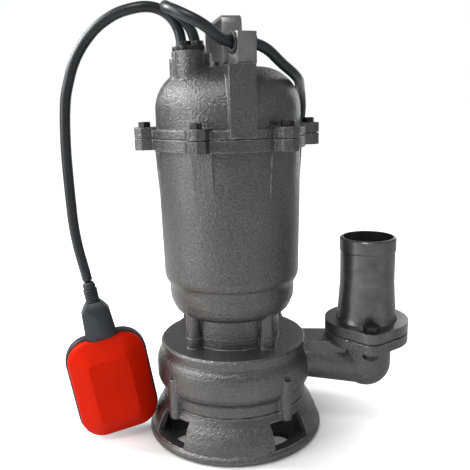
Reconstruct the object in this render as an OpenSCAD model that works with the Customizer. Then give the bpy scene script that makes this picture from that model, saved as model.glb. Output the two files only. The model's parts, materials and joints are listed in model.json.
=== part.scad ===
// Submersible sump pump: a cast-iron wet-end and motor casing on a windowed
// base, a bolted hose tail, a cable guide handle and a tilting float switch.
// Millimetres, +Z up. The origin is on the shaft axis at the underside of
// the base. +X points to the discharge and -Y to the front.

/* [Base stand] */
// Radius of the foot's rounded bottom ring
foot_r = 83.2; // [80:0.2:90]
// Height of the stand, from the floor to the wet-end joint
base_h = 38.5; // [36:0.5:44]
// Radius of the stand at the wet-end joint
base_top_r = 68.5; // [66:0.5:70]
// Thickness of the bottom plate
base_plate_t = 6; // [5:0.5:9]
// Wall of the four pillars
base_wall = 6; // [5:0.5:8]
// Angle that each suction window takes
window_angle = 29; // [20:1:36]
// Diameter of the four holes in the bottom plate
base_hole_d = 25; // [18:1:27]
// Radius of the circle of plate holes
base_hole_circle_r = 58; // [54:1:62]

/* [Wet end] */
// Height of the volute casting, without its collar
volute_h = 54; // [52:0.5:60]
// Radius of the volute's bulge
volute_r = 73.5; // [72:0.5:76]
// Radius of the impeller chamber
chamber_r = 55; // [52:0.5:57]
// Radius of the impeller
impeller_r = 50; // [46:0.5:51]
// Height of the impeller's vanes
vane_h = 15; // [12:0.5:16]
// Number of impeller vanes
vane_count = 4; // [2:1:6]
// Thickness of the suction plate
suction_plate_t = 7; // [5:0.5:8]
// Radius of the suction eye
eye_r = 24; // [21:0.5:27]
// Height of the collar under the motor
collar_h = 10; // [8:0.5:14]
// Radius of the neck drum between volute and motor
neck_r = 43.5; // [43:0.5:45]
// Radius of the circle that the neck posts stand on
post_circle_r = 47; // [45:0.5:48]
// Radius of a neck post
post_r = 6.7; // [6:0.1:7.5]

/* [Discharge] */
// Distance of the discharge axis from the shaft
discharge_x = 126; // [120:1:134]
// Height of the discharge flange joint
flange_z = 99; // [98:0.5:106]
// Outer radius of the elbow
elbow_r = 23.5; // [23:0.5:26]
// Radius of the discharge passage
passage_r = 18.5; // [15:0.5:19.5]
// Radius of the round part of the flanges
flange_r = 38.5; // [37:0.5:41]
// Thickness of each discharge flange
flange_t = 9; // [7:0.5:10]
// Distance of each discharge bolt from the axis
flange_bolt_y = 36; // [35:0.5:40]
// Radius of the hose tail's barrel
tail_r = 24.9; // [24:0.1:26]
// Bore radius of the hose tail
tail_bore_r = 22.6; // [20:0.1:22.8]
// Length of the hose tail above its flange
tail_len = 78; // [60:1:100]
// Height of the bead at the hose tail's mouth
bead_h = 13; // [9:0.5:15]

/* [Motor] */
// Length of the motor casing, from the neck joint to the cover joint
casing_h = 178.6; // [170:0.2:200]
// Outer radius of the casing at its lower edge
casing_r = 62.3; // [62:0.1:64]
// Outer radius of the casing under its flange
casing_top_r = 64.3; // [64:0.1:66]
// Bore radius of the motor chamber
stator_r = 57; // [55:0.5:57.5]
// Length of the stator stack
stack_len = 70; // [50:1:72]
// Radius of the rotor
rotor_r = 30; // [26:0.5:32]
// Air gap between rotor and stator
air_gap = 0.5; // [0.3:0.1:1]
// Number of stator slots
slot_count = 24; // [18:6:36]
// Radius of the shaft in the rotor
shaft_r = 10; // [9:0.5:11]

/* [Top cover] */
// Height of the dome over the cover joint
dome_h = 58.2; // [57:0.2:62]
// Radius of the dome's outer wall
dome_r = 64.4; // [64:0.1:66]
// Radius of the dome's rounded shoulder
dome_corner_r = 36; // [30:1:40]
// Wall of the dome
dome_wall = 5; // [4:0.5:6]
// Radius of the bolted flange ring
ring_r = 69; // [68:0.5:71]
// Thickness of each layer of the flange
ring_t = 10; // [8:0.5:12]
// Radius of the circle of cover bolts
cover_bolt_r = 74.5; // [74:0.5:76]
// Radius of a flange lug
lug_r = 9; // [8:0.5:10]

/* [Handle and cable guide] */
// Width of the handle strap
handle_w = 16; // [12:0.5:20]
// Thickness of the handle strap
handle_t = 3; // [2:0.5:4]
// Height of the handle over its seats
handle_h = 39; // [34:0.5:45]
// Outside length of the handle
handle_len = 97; // [90:1:100]
// Height of the cable guide
guide_h = 24.4; // [24:0.2:27]
// Diameter of the cables
cord_d = 9; // [8:0.1:9.2]

/* [Float switch] */
// Width of the float
float_w = 75; // [70:1:80]
// Length of the float
float_len = 99; // [94:1:104]
// Depth of the float
float_depth = 42; // [38:1:46]
// Wall of the float's shells
float_wall = 2.5; // [2:0.1:3]
// Radius of the steel ball in the float
ball_r = 8; // [6:0.5:9]

/* [Hidden] */

// Places along the shaft axis
disc_z = base_h + volute_h;
neck_z = disc_z + collar_h;
cover_z = neck_z + casing_h;
gasket_t = 0.8;
gasket_inset = 1.8;
web_t = 6.5;
cover_lug_t = 8.8;
dome_z = cover_z + gasket_t;
seat_z = dome_z + dome_h;
plate_top_z = base_h + suction_plate_t;
vane_z = plate_top_z + 1;
shroud_z = vane_z + vane_h;
shroud_t = 4;
roof_z = shroud_z + shroud_t + 4;
well_z = roof_z + 8.5;
hub_top_z = well_z - 4;
housing_t = 8;
housing_top_z = neck_z + housing_t;
oil_top_z = neck_z + 35.5;
bearing_z = oil_top_z + 10;
motor_floor_z = bearing_z + 12;
stack_z = motor_floor_z + 25;
bracket_t = 8;
bracket_z = cover_z - bracket_t;
upper_bearing_z = bracket_z - 9;

// Fits and clearances
fit = 0.05;
soft_gap = 0.3;
air = 0.5;

// Lug and bolt sizes
lug_angles = [for (k = [0:5]) 45 + 60 * k];
post_angles = [for (k = [0:3]) 45 + 90 * k];
m6_r = 3;
m6_af = 10;
m6_head_h = 4.5;
m8_r = 4;
m8_af = 13;
m8_head_h = 5.5;
m8_nut_h = 6.5;
boss_r = 6;
boss_circle_r = base_top_r - 0.5;
boss_top_z = base_h + 23.5;
rib_out = 2.2;
rib_r = 5.6;
eye_notches = 6;

// Shaft journals
pump_shaft_r = 7;
seal_shaft_r = 8;
thread_r = 5;

// Bearings: bore, outside, width, ball and pitch radius
lower_brg = [8.5, 20, 12, 3.37, 14.25, 8];
upper_brg = [7.5, 17.5, 11, 3, 12.5, 8];

// Discharge
passage_z = base_h + 32.5;
neck_pipe_z = base_h + 33.5;
neck_pipe_r = 20;
elbow_z = flange_z - 32.5;
port_r = 16;
tip_r = 11;
discharge_gasket_t = 1.5;
tail_z = flange_z + discharge_gasket_t;
tail_top_z = tail_z + flange_t + tail_len;

// Seats on the dome
seat_angle = 15;
seat_w = 22;
seat_inner = 22;
handle_front = 45;
handle_side = -3;
foot_len = 22;
gland_top_z = dome_z + 71;
gland_t = 4;
gland_lobes = [[-27.5, -30.5, 13, 0], [-36, -24, 8.6, 0], [-24, -22, 8.4, 0],
    [-40.5, -25, 6, -6], [-21.5, -24.5, 10.8, -2.2]];
float_hole = [-36, -23];
power_hole = [-24, -22];
gland_screws_at = [[-31, -36], [-20, -35]];
m5_r = 2.5;
m5_af = 8;
m5_head_h = 3.5;
sleeve_r = 5.6;
sleeve_up = 1;
sleeve_down = 16;
sleeve_gap = 0.4;

// Cable guide: its web faces this azimuth, and its grommets are level
guide_angle = 30;
guide_at = [21.6, -62];
guide_w = 16.6;
guide_depth = 17.5;
guide_sheet = 2;
guide_base_t = 2.5;
grommet_z = seat_z + guide_h - 8;
grommet_r = 8.8;
grommet_hole_r = 6.5;
grommet_lip = 1.5;
grommet_inner_r = 7.3;
grommet_gap = 0.6;

// Float switch: place, turn and tilt
float_at = [-113, -29, 54.5];
float_yaw = 21;
float_tilt = 9;
float_rim = 1.8;
float_split = -2;
hinge_up = 97;
knuckle_r = 5.6;
boot_low = float_len / 2 - 3.5;
boot_high = 82;
ball_low = -27;

// Cords
cord_r = cord_d / 2;
cord_sides = 8;
coil_at = [-22, 168];
coil_outer = 64.4;
coil_pitch = cord_d + 0.6;
coil_turns = 3;
coil_layers = 4;
coil_start = -30;
tie_t = 1.2;
tie_w = 8;
coil_z = tie_t + 0.4 + cord_r;

// Colours
iron = "#35373a";
dark = "#1d1e20";
zinc = "#b9bcc0";
steel = "#9a9da1";
rubber = "#18191b";
red = "#d8200f";

$fn = 72;

// ---- small shapes -------------------------------------------------------

function polar(r, a) = [r * sin(a), -r * cos(a)];

module around(angles) {
    for (a = angles) rotate([0, 0, a]) children();
}

module at_front(r, z = 0) {
    translate([0, -r, z]) children();
}

module ring(outer, inner, h) {
    difference() {
        cylinder(r = outer, h = h);
        translate([0, 0, -1]) cylinder(r = inner, h = h + 2);
    }
}

module hexagon(af, h) {
    cylinder(r = af / sqrt(3), h = h, $fn = 6);
}

module box(low, high) {
    translate(low) cube(high - low);
}

// A sector of the given angle about the front, out to radius r
module sector(r, angle, h) {
    half = angle / 2;
    linear_extrude(h)
        polygon([[0, 0], polar(r / cos(half), -half), polar(r / cos(half), half)]);
}

// A rounded rectangle made of true circles
module round_rect(w, l, r) {
    square([w - 2 * r, l], center = true);
    square([w, l - 2 * r], center = true);
    for (x = [-1, 1], y = [-1, 1])
        translate([x * (w / 2 - r), y * (l / 2 - r)]) circle(r = r);
}

// A round flange drawn out to a tip on each side, with straight tangents
module tipped_flange(r, tip, reach) {
    a = acos((r - tip) / reach);
    circle(r = r);
    for (s = [-1, 1]) {
        translate([0, s * reach]) circle(r = tip);
        polygon([
            [-r * sin(a), s * r * cos(a)],
            [r * sin(a), s * r * cos(a)],
            [tip * sin(a), s * (reach + tip * cos(a))],
            [-tip * sin(a), s * (reach + tip * cos(a))]
        ]);
    }
}

// The outline of the bolted ring, with its six lugs
module lugs(r, inset = 0) {
    w = lug_r - inset;
    c = 0.414 * w;
    around(lug_angles) translate([0, -cover_bolt_r]) polygon([
        [-w, -c], [-c, -w], [c, -w], [w, -c], [w, cover_bolt_r - r + 8], [-w, cover_bolt_r - r + 8]
    ]);
}

module lug_ring(r, inset = 0) {
    circle(r = r - inset);
    lugs(r, inset);
}

// The outline of the neck: a drum and four posts
module neck_outline(r, post) {
    circle(r = r);
    around(post_angles) translate([0, -post_circle_r]) circle(r = post);
}

module hex_bolt(r, af, head, below) {
    hexagon(af, head);
    translate([0, 0, -below]) cylinder(r = r, h = below + 0.5);
}

// ---- tubes swept along a path ------------------------------------------

function unit(v) = v / norm(v);

function tangents(p) = let (n = len(p))
    [for (i = [0:n - 1]) unit(p[min(i + 1, n - 1)] - p[max(i - 1, 0)])];

// A side vector carried along the path without twisting
function carried(t, u, i = 0) = i == len(t) ? [] :
    let (v = unit(u - (u * t[i]) * t[i])) concat([v], carried(t, v, i + 1));

function tube_points(p, r, sides, side) =
    let (t = tangents(p), u = carried(t, side))
    [for (i = [0:len(p) - 1], k = [0:sides - 1])
        let (a = 360 * k / sides)
        p[i] + r * (cos(a) * u[i] + sin(a) * cross(t[i], u[i]))];

function tube_faces(n, m) = concat(
    [for (k = [1:m - 2]) [0, k, k + 1]],
    [for (i = [0:n - 2], k = [0:m - 1]) [i * m + k, (i + 1) * m + k, i * m + (k + 1) % m]],
    [for (i = [0:n - 2], k = [0:m - 1])
        [i * m + (k + 1) % m, (i + 1) * m + k, (i + 1) * m + (k + 1) % m]],
    [for (k = [1:m - 2]) [(n - 1) * m, (n - 1) * m + k + 1, (n - 1) * m + k]]
);

module tube(p, r, sides, side = [0, 1, 0]) {
    polyhedron(tube_points(p, r, sides, side), tube_faces(len(p), sides));
}

// ---- base and wet end ---------------------------------------------------

base_curve = [[0.84, 0.26], [0.7, 0.44], [0.45, 0.65], [0.19, 0.8], [0, 0.95], [0, 1]];

function wall_curve(d) = [for (p = base_curve)
    [base_top_r + p[0] * (foot_r - base_top_r) - d, p[1] * base_h]];

function backwards(p) = [for (i = [len(p) - 1:-1:0]) p[i]];

module base_profile() {
    square([foot_r - 4.5, base_plate_t]);
    translate([foot_r - 4.5, 4.5]) circle(r = 4.5);
    translate([foot_r - 12, 0]) square([7.5, 9]);
    polygon(concat([[foot_r - 6 - base_wall, 3], [foot_r - 4.5, 4]],
        wall_curve(0), backwards(wall_curve(base_wall))));
    translate([chamber_r - 1, base_h - 7]) square([base_top_r - chamber_r, 7]);
}

module base_boss(r) {
    rotate_extrude() {
        square([r - 2.5, 9]);
        translate([0, 2.5]) square([r, 6.5]);
        translate([r - 2.5, 2.5]) circle(r = 2.5);
    }
}

module base_stand() color(iron) difference() {
    union() {
        difference() {
            rotate_extrude() base_profile();
            around(post_angles)
                translate([0, 0, 9.5]) sector(foot_r + 6, window_angle, base_h - 16.8);
        }
        around(post_angles) {
            at_front(boss_circle_r, base_h - 9.5) base_boss(boss_r);
            at_front(boss_circle_r + rib_out, base_h - 9) base_boss(rib_r);
        }
    }
    around(post_angles) {
        at_front(base_hole_circle_r, -1) cylinder(r = base_hole_d / 2, h = base_plate_t + 2);
        at_front(boss_circle_r, base_h - 10.5) cylinder(r = 4.6, h = 6.5);
        at_front(boss_circle_r, base_h - 5) cylinder(r = 2.7, h = 6);
    }
}

module base_bolts() color(dark) around(post_angles) at_front(boss_circle_r) {
    translate([0, 0, base_h - 4]) cylinder(r = 2.5, h = 20);
    translate([0, 0, base_h - 9]) difference() {
        cylinder(r = 4.25, h = 5);
        translate([0, 0, -1]) hexagon(4, 3.5);
    }
}

module suction_plate() color(iron) difference() {
    translate([0, 0, base_h]) cylinder(r = chamber_r + 3, h = suction_plate_t);
    translate([0, 0, base_h - 1]) cylinder(r = eye_r, h = suction_plate_t + 2);
    for (k = [0:eye_notches - 1]) rotate([0, 0, 60 * k])
        at_front(eye_r, base_h - 1) cylinder(r = 3.5, h = suction_plate_t + 2);
}

joint_line = 0.6;
volute_curve = [[-5.5, joint_line], [-5.5, 10], [-4.5, 12], [-2, 15], [-0.3, 19], [0, 22.5],
    [0, 32.5], [-0.5, 37], [-1.9, 40.5], [-3.7, 43.1], [-4.6, 45.5]];

// A ball with a small flat underneath
module elbow_ball(r) intersection() {
    sphere(r = r);
    box([-r - 1, -r - 1, 0.5 - r], [r + 1, r + 1, r + 1]);
}

module volute_body() {
    translate([0, 0, base_h]) rotate_extrude() polygon(concat(
        [[0, 0], [volute_r - 9, 0], [volute_r - 9, joint_line]],
        [for (p = volute_curve) [volute_r + p[0], p[1]]],
        [[volute_r - 4.6, volute_h - 2], [volute_r - 6.1, volute_h], [0, volute_h]]));
    around(post_angles) {
        at_front(boss_circle_r, base_h) cylinder(r = boss_r, h = 23.5);
        at_front(boss_circle_r + rib_out, base_h) cylinder(r = rib_r, h = 30);
    }
    translate([0, 0, disc_z - 1]) linear_extrude(collar_h + 1)
        neck_outline(neck_r, post_r + 0.8);
    translate([volute_r - 16, 0, neck_pipe_z]) rotate([0, 95, 0])
        cylinder(r1 = neck_pipe_r, r2 = elbow_r - 1.8, h = discharge_x - volute_r + 16);
    box([volute_r - 16, -17, neck_pipe_z + 8], [discharge_x - 20, 17, disc_z - 1]);
    translate([discharge_x, 0, elbow_z]) elbow_ball(elbow_r);
    translate([discharge_x, 0, elbow_z]) cylinder(r = elbow_r, h = flange_z - elbow_z - 4);
    translate([discharge_x, 0, flange_z - flange_t]) linear_extrude(flange_t)
        tipped_flange(flange_r, tip_r, flange_bolt_y);
}

module volute_casing() color(iron) difference() {
    volute_body();
    translate([0, 0, base_h - 1]) cylinder(r = chamber_r + 3 + fit, h = suction_plate_t + 1);
    translate([0, 0, base_h]) cylinder(r = chamber_r, h = roof_z - base_h);
    translate([6, 5, plate_top_z]) cylinder(r = chamber_r - 3, h = roof_z - plate_top_z);
    translate([0, 0, roof_z - 1]) cylinder(r = 16, h = 12);
    translate([0, 0, well_z]) cylinder(r = 34, h = neck_z - well_z + 1);
    around(post_angles) {
        at_front(post_circle_r, roof_z - 1) cylinder(r = 5.5, h = 7.5);
        at_front(post_circle_r, roof_z) cylinder(r = 3.3, h = neck_z - roof_z + 1);
        at_front(boss_circle_r, base_h - 1) cylinder(r = 2.5 + fit, h = 18);
        at_front(boss_circle_r + 7, base_h + 30) cylinder(r = 3.6, h = 3.5);
    }
    translate([42, 0, passage_z]) rotate([0, 90, 0])
        cylinder(r = port_r, h = discharge_x - 42);
    translate([discharge_x, 0, elbow_z + 2]) {
        elbow_ball(passage_r);
        cylinder(r = passage_r, h = flange_z - elbow_z);
    }
    for (y = [-1, 1]) translate([discharge_x, y * flange_bolt_y, flange_z - flange_t - 8])
        cylinder(r = m8_r + 0.3, h = flange_t + 10);
}

module cutter() color(steel) translate([0, 0, base_h + 0.5]) difference() {
    union() {
        cylinder(r = 12, h = suction_plate_t + 0.5);
        for (a = [0, 120, 240]) rotate([0, 0, a])
            translate([-3, 0, 0]) cube([6, eye_r - 0.6, suction_plate_t - 1]);
    }
    translate([0, 0, -1]) cylinder(r = thread_r + fit, h = suction_plate_t + 3);
}

module impeller() color(iron) difference() {
    union() {
        translate([0, 0, vane_z]) linear_extrude(vane_h + 0.5)
            for (k = [0:vane_count - 1]) rotate(360 / vane_count * k) intersection() {
                circle(r = impeller_r);
                translate([0, 27]) difference() {
                    circle(r = 29);
                    circle(r = 24);
                }
                translate([0, -1]) square([60, 60]);
            }
        translate([0, 0, shroud_z]) cylinder(r = impeller_r, h = shroud_t);
        translate([0, 0, vane_z]) cylinder(r = 15.5, h = hub_top_z - vane_z);
    }
    translate([0, 0, vane_z - 1]) cylinder(r = pump_shaft_r + fit, h = hub_top_z - vane_z + 2);
    box([0, -2 - fit, vane_z - 1], [9.5, 2 + fit, hub_top_z - 3]);
}

module impeller_nut() color(steel) translate([0, 0, base_h - 6.5]) difference() {
    hexagon(16, 7);
    translate([0, 0, -1]) cylinder(r = thread_r + fit, h = 9);
}

module impeller_key() color(steel)
    box([4.6, -2, vane_z + 4], [9.4, 2, hub_top_z - 4]);

module neck_screws() color(dark) around(post_angles) at_front(post_circle_r, roof_z + 0.5) {
    translate([0, 0, 6]) cylinder(r = m6_r, h = neck_z - roof_z + 7);
    difference() {
        cylinder(r = 5, h = 6);
        translate([0, 0, -1]) hexagon(5, 4);
    }
}

// ---- seals --------------------------------------------------------------

module seal_housing() color(iron) difference() {
    translate([0, 0, neck_z]) cylinder(r = 38 - fit, h = housing_t);
    translate([0, 0, neck_z - 1]) cylinder(r = 16, h = 7);
    translate([0, 0, neck_z]) cylinder(r = 11, h = housing_t + 1);
}

module seal_seat() color("#e8e2d4") translate([0, 0, neck_z - 1])
    ring(16 - fit, seal_shaft_r + 1, 7);

module seal_head() color(steel) difference() {
    union() {
        translate([0, 0, neck_z - 5]) cylinder(r = 13.5, h = 4);
        translate([0, 0, neck_z - 18]) cylinder(r = 15, h = 13);
        translate([0, 0, neck_z - 20]) cylinder(r = 16, h = 2.5);
    }
    translate([0, 0, neck_z - 21]) cylinder(r = seal_shaft_r + fit, h = 22);
}

module lip_seal() color(rubber) translate([0, 0, oil_top_z + 2])
    ring(14, lower_brg[0] + fit, 7);

// ---- motor casing -------------------------------------------------------

pad_w = 18;

module casing_pad() {
    top = cover_z - ring_t + 1;
    translate([-pad_w / 2, 0, 0]) rotate([90, 0, 90]) linear_extrude(pad_w) polygon([
        [3 - casing_r, top - 66], [0.8 - casing_r, top - 66],
        [-casing_top_r - 1.6, top], [3 - casing_r, top]
    ]);
}

module casing_outer() {
    rotate_extrude() polygon([
        [0, neck_z], [neck_r, neck_z], [neck_r, neck_z + 17], [46, neck_z + 17.2],
        [50, neck_z + 18.5], [53, neck_z + 21.5], [55, neck_z + 25],
        [57.5, neck_z + 31.5], [58, neck_z + 37.5], [58, neck_z + 43.5],
        [59, neck_z + 47], [60.6, neck_z + 49.5], [61.8, neck_z + 52.3],
        [casing_r, neck_z + 55.5], [casing_top_r, cover_z - ring_t],
        [casing_top_r, cover_z - 1], [0, cover_z - 1]
    ]);
    around(post_angles) at_front(post_circle_r, neck_z) cylinder(r = post_r, h = 27);
    translate([0, 0, cover_z - ring_t]) linear_extrude(ring_t) lug_ring(ring_r);
    around(lug_angles) casing_pad();
    translate([0, 40, neck_z + 25.5]) rotate([-90, 0, 0]) cylinder(r = 9.5, h = 18);
}

module motor_casing() color(iron) difference() {
    casing_outer();
    translate([0, 0, neck_z - 1]) cylinder(r = 38, h = housing_t + 1);
    translate([0, 0, neck_z]) cylinder(r = 36, h = oil_top_z - neck_z);
    translate([0, 0, neck_z]) cylinder(r = 11, h = 60);
    translate([0, 0, oil_top_z + 2]) cylinder(r = 14 + fit, h = 20);
    translate([0, 0, bearing_z]) cylinder(r = lower_brg[1] + fit, h = 20);
    translate([0, 0, motor_floor_z]) cylinder(r = stator_r - 4, h = 100);
    translate([0, 0, stack_z]) cylinder(r = stator_r, h = 200);
    translate([0, 0, bracket_z]) cylinder(r = 60, h = 20);
    around(post_angles) at_front(post_circle_r, neck_z - 1) cylinder(r = m6_r + fit, h = 16);
    around(lug_angles) at_front(cover_bolt_r, cover_z - 9) cylinder(r = m6_r + fit, h = 10);
    translate([0, 30, neck_z + 25.5]) rotate([-90, 0, 0]) cylinder(r = 5 + fit, h = 40);
}

module oil_plug() color(dark) translate([0, 58, neck_z + 25.5]) rotate([-90, 0, 0]) {
    hexagon(14, 6);
    translate([0, 0, -17]) cylinder(r = 5, h = 17.5);
}

// ---- bearings -----------------------------------------------------------

module bearing_outer(b) difference() {
    ring(b[1], b[4] + b[3] * 0.53, b[2]);
    translate([0, 0, b[2] / 2]) rotate_extrude() translate([b[4], 0]) circle(r = b[3] + 0.3);
}

module bearing_inner(b) difference() {
    ring(b[4] - b[3] * 0.53, b[0] + fit, b[2]);
    translate([0, 0, b[2] / 2]) rotate_extrude() translate([b[4], 0]) circle(r = b[3] + 0.3);
}

module bearing_balls(b) translate([0, 0, b[2] / 2]) {
    for (k = [0:b[5] - 1]) rotate([0, 0, 360 / b[5] * k]) translate([b[4], 0, 0]) sphere(r = b[3]);
    translate([0, 0, -1.2]) ring(b[4] + 0.9, b[4] - 0.9, 2.4);
}

module lower_bearing_outer() color(steel) translate([0, 0, bearing_z]) bearing_outer(lower_brg);
module lower_bearing_balls() color(steel) translate([0, 0, bearing_z]) bearing_balls(lower_brg);
module lower_bearing_inner() color(steel) translate([0, 0, bearing_z]) bearing_inner(lower_brg);

module upper_bearing_outer() color(steel)
    translate([0, 0, upper_bearing_z]) bearing_outer(upper_brg);
module upper_bearing_balls() color(steel)
    translate([0, 0, upper_bearing_z]) bearing_balls(upper_brg);
module upper_bearing_inner() color(steel)
    translate([0, 0, upper_bearing_z]) bearing_inner(upper_brg);

// ---- rotor and stator ---------------------------------------------------

module shaft() color(steel) difference() {
    rotate_extrude() polygon([
        [0, base_h - 9], [thread_r, base_h - 9], [thread_r, vane_z],
        [pump_shaft_r, vane_z], [pump_shaft_r, hub_top_z],
        [seal_shaft_r, hub_top_z], [seal_shaft_r, oil_top_z - 8],
        [lower_brg[0], oil_top_z - 7], [lower_brg[0], motor_floor_z],
        [shaft_r, motor_floor_z], [shaft_r, upper_bearing_z],
        [upper_brg[0], upper_bearing_z], [upper_brg[0], bracket_z + 3], [0, bracket_z + 3]
    ]);
    box([4.5, -2 - fit, vane_z + 3.5], [9, 2 + fit, hub_top_z - 3.5]);
}

rotor_bars = 20;

module bar_places() {
    for (k = [0:rotor_bars - 1]) rotate([0, 0, 360 / rotor_bars * k])
        translate([rotor_r - 3.5, 0, 0]) children();
}

module rotor_core() color(steel) translate([0, 0, stack_z]) difference() {
    ring(rotor_r, shaft_r + fit, stack_len);
    bar_places() translate([0, 0, -1]) cylinder(r = 1.8 + fit, h = stack_len + 2);
}

module rotor_cage() color(zinc) translate([0, 0, stack_z]) {
    bar_places() translate([0, 0, -1]) cylinder(r = 1.8, h = stack_len + 2);
    for (z = [-7, stack_len]) translate([0, 0, z]) ring(rotor_r - 1, rotor_r - 10, 7);
}

bore_r = rotor_r + air_gap;
slot_in = bore_r + 2.5;
slot_out = stator_r - 12;

module slot_places() {
    for (k = [0:slot_count - 1]) rotate([0, 0, 360 / slot_count * k]) children();
}

module stator_core() color(steel) translate([0, 0, stack_z]) difference() {
    ring(stator_r - fit, bore_r, stack_len);
    slot_places() {
        box([slot_in, -2, -1], [slot_out, 2, stack_len + 1]);
        box([bore_r - 1, -0.8, -1], [slot_in + 1, 0.8, stack_len + 1]);
    }
}

module stator_windings() color("#a4561f") translate([0, 0, stack_z]) {
    slot_places() box([slot_in + 0.1, -1.9, -5], [slot_out - 0.1, 1.9, stack_len + 5]);
    for (z = [-16, stack_len + 3]) translate([0, 0, z]) difference() {
        ring(stator_r - 8, slot_in - 0.5, 13);
    }
}

module upper_bracket() color(iron) difference() {
    union() {
        translate([0, 0, bracket_z]) cylinder(r = 60 - fit, h = bracket_t);
        translate([0, 0, upper_bearing_z]) cylinder(r = 23, h = 12);
    }
    translate([0, 0, upper_bearing_z - 1]) cylinder(r = upper_brg[1] + fit, h = upper_brg[2] + 1);
    translate([0, 0, upper_bearing_z]) cylinder(r = 12, h = 14.5);
    for (a = [20:72:350]) rotate([0, 0, a]) at_front(50, bracket_z - 1) cylinder(r = 5, h = 12);
}

// ---- inside the cover ---------------------------------------------------

capacitor_at = [0, 24, cover_z + 19.5];

module capacitor() color("#4b4f55") translate(capacitor_at) rotate([0, 90, 0]) {
    translate([0, 0, -34]) cylinder(r = 17, h = 68);
    translate([0, -5, 33]) cylinder(r = 2, h = 8);
    translate([0, 5, 33]) cylinder(r = 2, h = 8);
}

module capacitor_clip() color(zinc) difference() {
    union() {
        translate(capacitor_at) rotate([0, 90, 0])
            translate([0, 0, -7]) cylinder(r = 19, h = 14);
        box([-7, 0, cover_z], [7, 48, cover_z + 2.5]);
    }
    translate(capacitor_at) rotate([0, 90, 0]) translate([0, 0, -8]) cylinder(r = 17 + fit, h = 16);
    box([-8, -30, cover_z - 20], [8, 60, cover_z]);
    for (y = [3, 45]) translate([0, y, cover_z - 1]) cylinder(r = 1.6, h = 5);
}

module thermal_protector() color("#8d8f93") translate([26, -20, cover_z]) {
    cylinder(r = 9, h = 5);
    translate([0, 0, 4]) cylinder(r = 6.5, h = 4);
    box([-12, -2, 0], [12, 2, 1.2]);
}

module terminal_block() color("#d9d5c8") difference() {
    translate([-14, -12, cover_z]) rotate([0, 0, 20]) box([-18, -7, 0], [18, 7, 13]);
    translate([-14, -12, cover_z]) rotate([0, 0, 20])
        for (x = [-12:6:12]) translate([x, 0, 5]) {
            cylinder(r = 1.8, h = 10);
            translate([0, -8, 3]) rotate([-90, 0, 0]) cylinder(r = 1.2, h = 16);
        }
}

// ---- top cover ----------------------------------------------------------

module dome_profile(r, corner, top) {
    square([r - corner, top]);
    square([r, top - corner]);
    intersection() {
        translate([r - corner, top - corner]) circle(r = corner);
        square([r, top]);
    }
}

module seat_block() {
    box([-seat_w / 2, -ring_r, dome_z + 1], [seat_w / 2, -seat_inner, seat_z]);
}

module top_cover() color(iron) difference() {
    union() {
        translate([0, 0, dome_z]) rotate_extrude() dome_profile(dome_r, dome_corner_r, dome_h);
        translate([0, 0, dome_z]) cylinder(r = ring_r, h = web_t);
        translate([0, 0, dome_z]) linear_extrude(cover_lug_t) lugs(ring_r);
        around([seat_angle, seat_angle + 180]) seat_block();
        for (g = gland_lobes) translate([g[0], g[1], dome_z + 20])
            cylinder(r = g[2], h = gland_top_z + g[3] - dome_z - 20);
    }
    translate([0, 0, dome_z - 1]) cylinder(r = stator_r - 1, h = 10);
    translate([0, 0, dome_z + 9 - 0.01]) rotate_extrude()
        dome_profile(dome_r - dome_wall, dome_corner_r - dome_wall, dome_h - dome_wall - 9);
    around(lug_angles) at_front(cover_bolt_r, dome_z - 1) cylinder(r = m6_r + 0.3, h = cover_lug_t + 2);
    for (p = [float_hole, power_hole]) translate([p[0], p[1], dome_z + 30])
        cylinder(r = sleeve_r, h = 60);
    for (p = gland_screws_at) translate([p[0], p[1], gland_top_z - 12])
        cylinder(r = m5_r + fit, h = 14);
    rotate([0, 0, seat_angle]) for (u = [handle_front - 13, -(handle_len - handle_front) + 13])
        translate([handle_side, -u, seat_z - 12]) cylinder(r = m6_r + fit, h = 14);
    translate([guide_mid[0], guide_mid[1], seat_z - 10]) cylinder(r = m5_r + fit, h = 12);
}

module cover_gasket() color(rubber) translate([0, 0, cover_z]) linear_extrude(gasket_t) difference() {
    lug_ring(ring_r, gasket_inset);
    circle(r = stator_r - 1);
    around(lug_angles) translate([0, -cover_bolt_r]) circle(r = m6_r + 0.4);
}

module cover_bolts() color(dark) around(lug_angles) at_front(cover_bolt_r, dome_z + cover_lug_t)
    hex_bolt(m6_r, m6_af, m6_head_h, cover_lug_t + gasket_t + 8.5);

module gland_plate() color(dark) translate([0, 0, gland_top_z]) linear_extrude(gland_t)
    difference() {
        union() {
            translate(float_hole) circle(r = 8);
            translate(power_hole) circle(r = 8);
            for (p = gland_screws_at) translate(p) circle(r = 5.2);
            polygon([float_hole + [-4, -6], power_hole + [7, 3], power_hole + [3, 7], float_hole + [0, 8]]);
            polygon([float_hole + [-4, -6], [-34.5, -39.5], [-28, -41], [-19, -40.2], [-15.2, -37],
                power_hole + [7, -2]]);
        }
        for (p = [float_hole, power_hole]) translate(p) circle(r = sleeve_r);
        for (p = gland_screws_at) translate(p) circle(r = m5_r + 0.2);
    }

module gland_screws() color(dark) for (p = gland_screws_at)
    translate([p[0], p[1], gland_top_z + gland_t]) hex_bolt(m5_r, m5_af, m5_head_h, gland_t + 10);

module gland_sleeves() color(rubber) for (p = [float_hole, power_hole])
    translate([p[0], p[1], gland_top_z - sleeve_down])
        ring(sleeve_r - fit, cord_r + sleeve_gap, sleeve_down + gland_t + sleeve_up);

// ---- handle and cable guide ---------------------------------------------

handle_rear = handle_len - handle_front;

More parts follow.
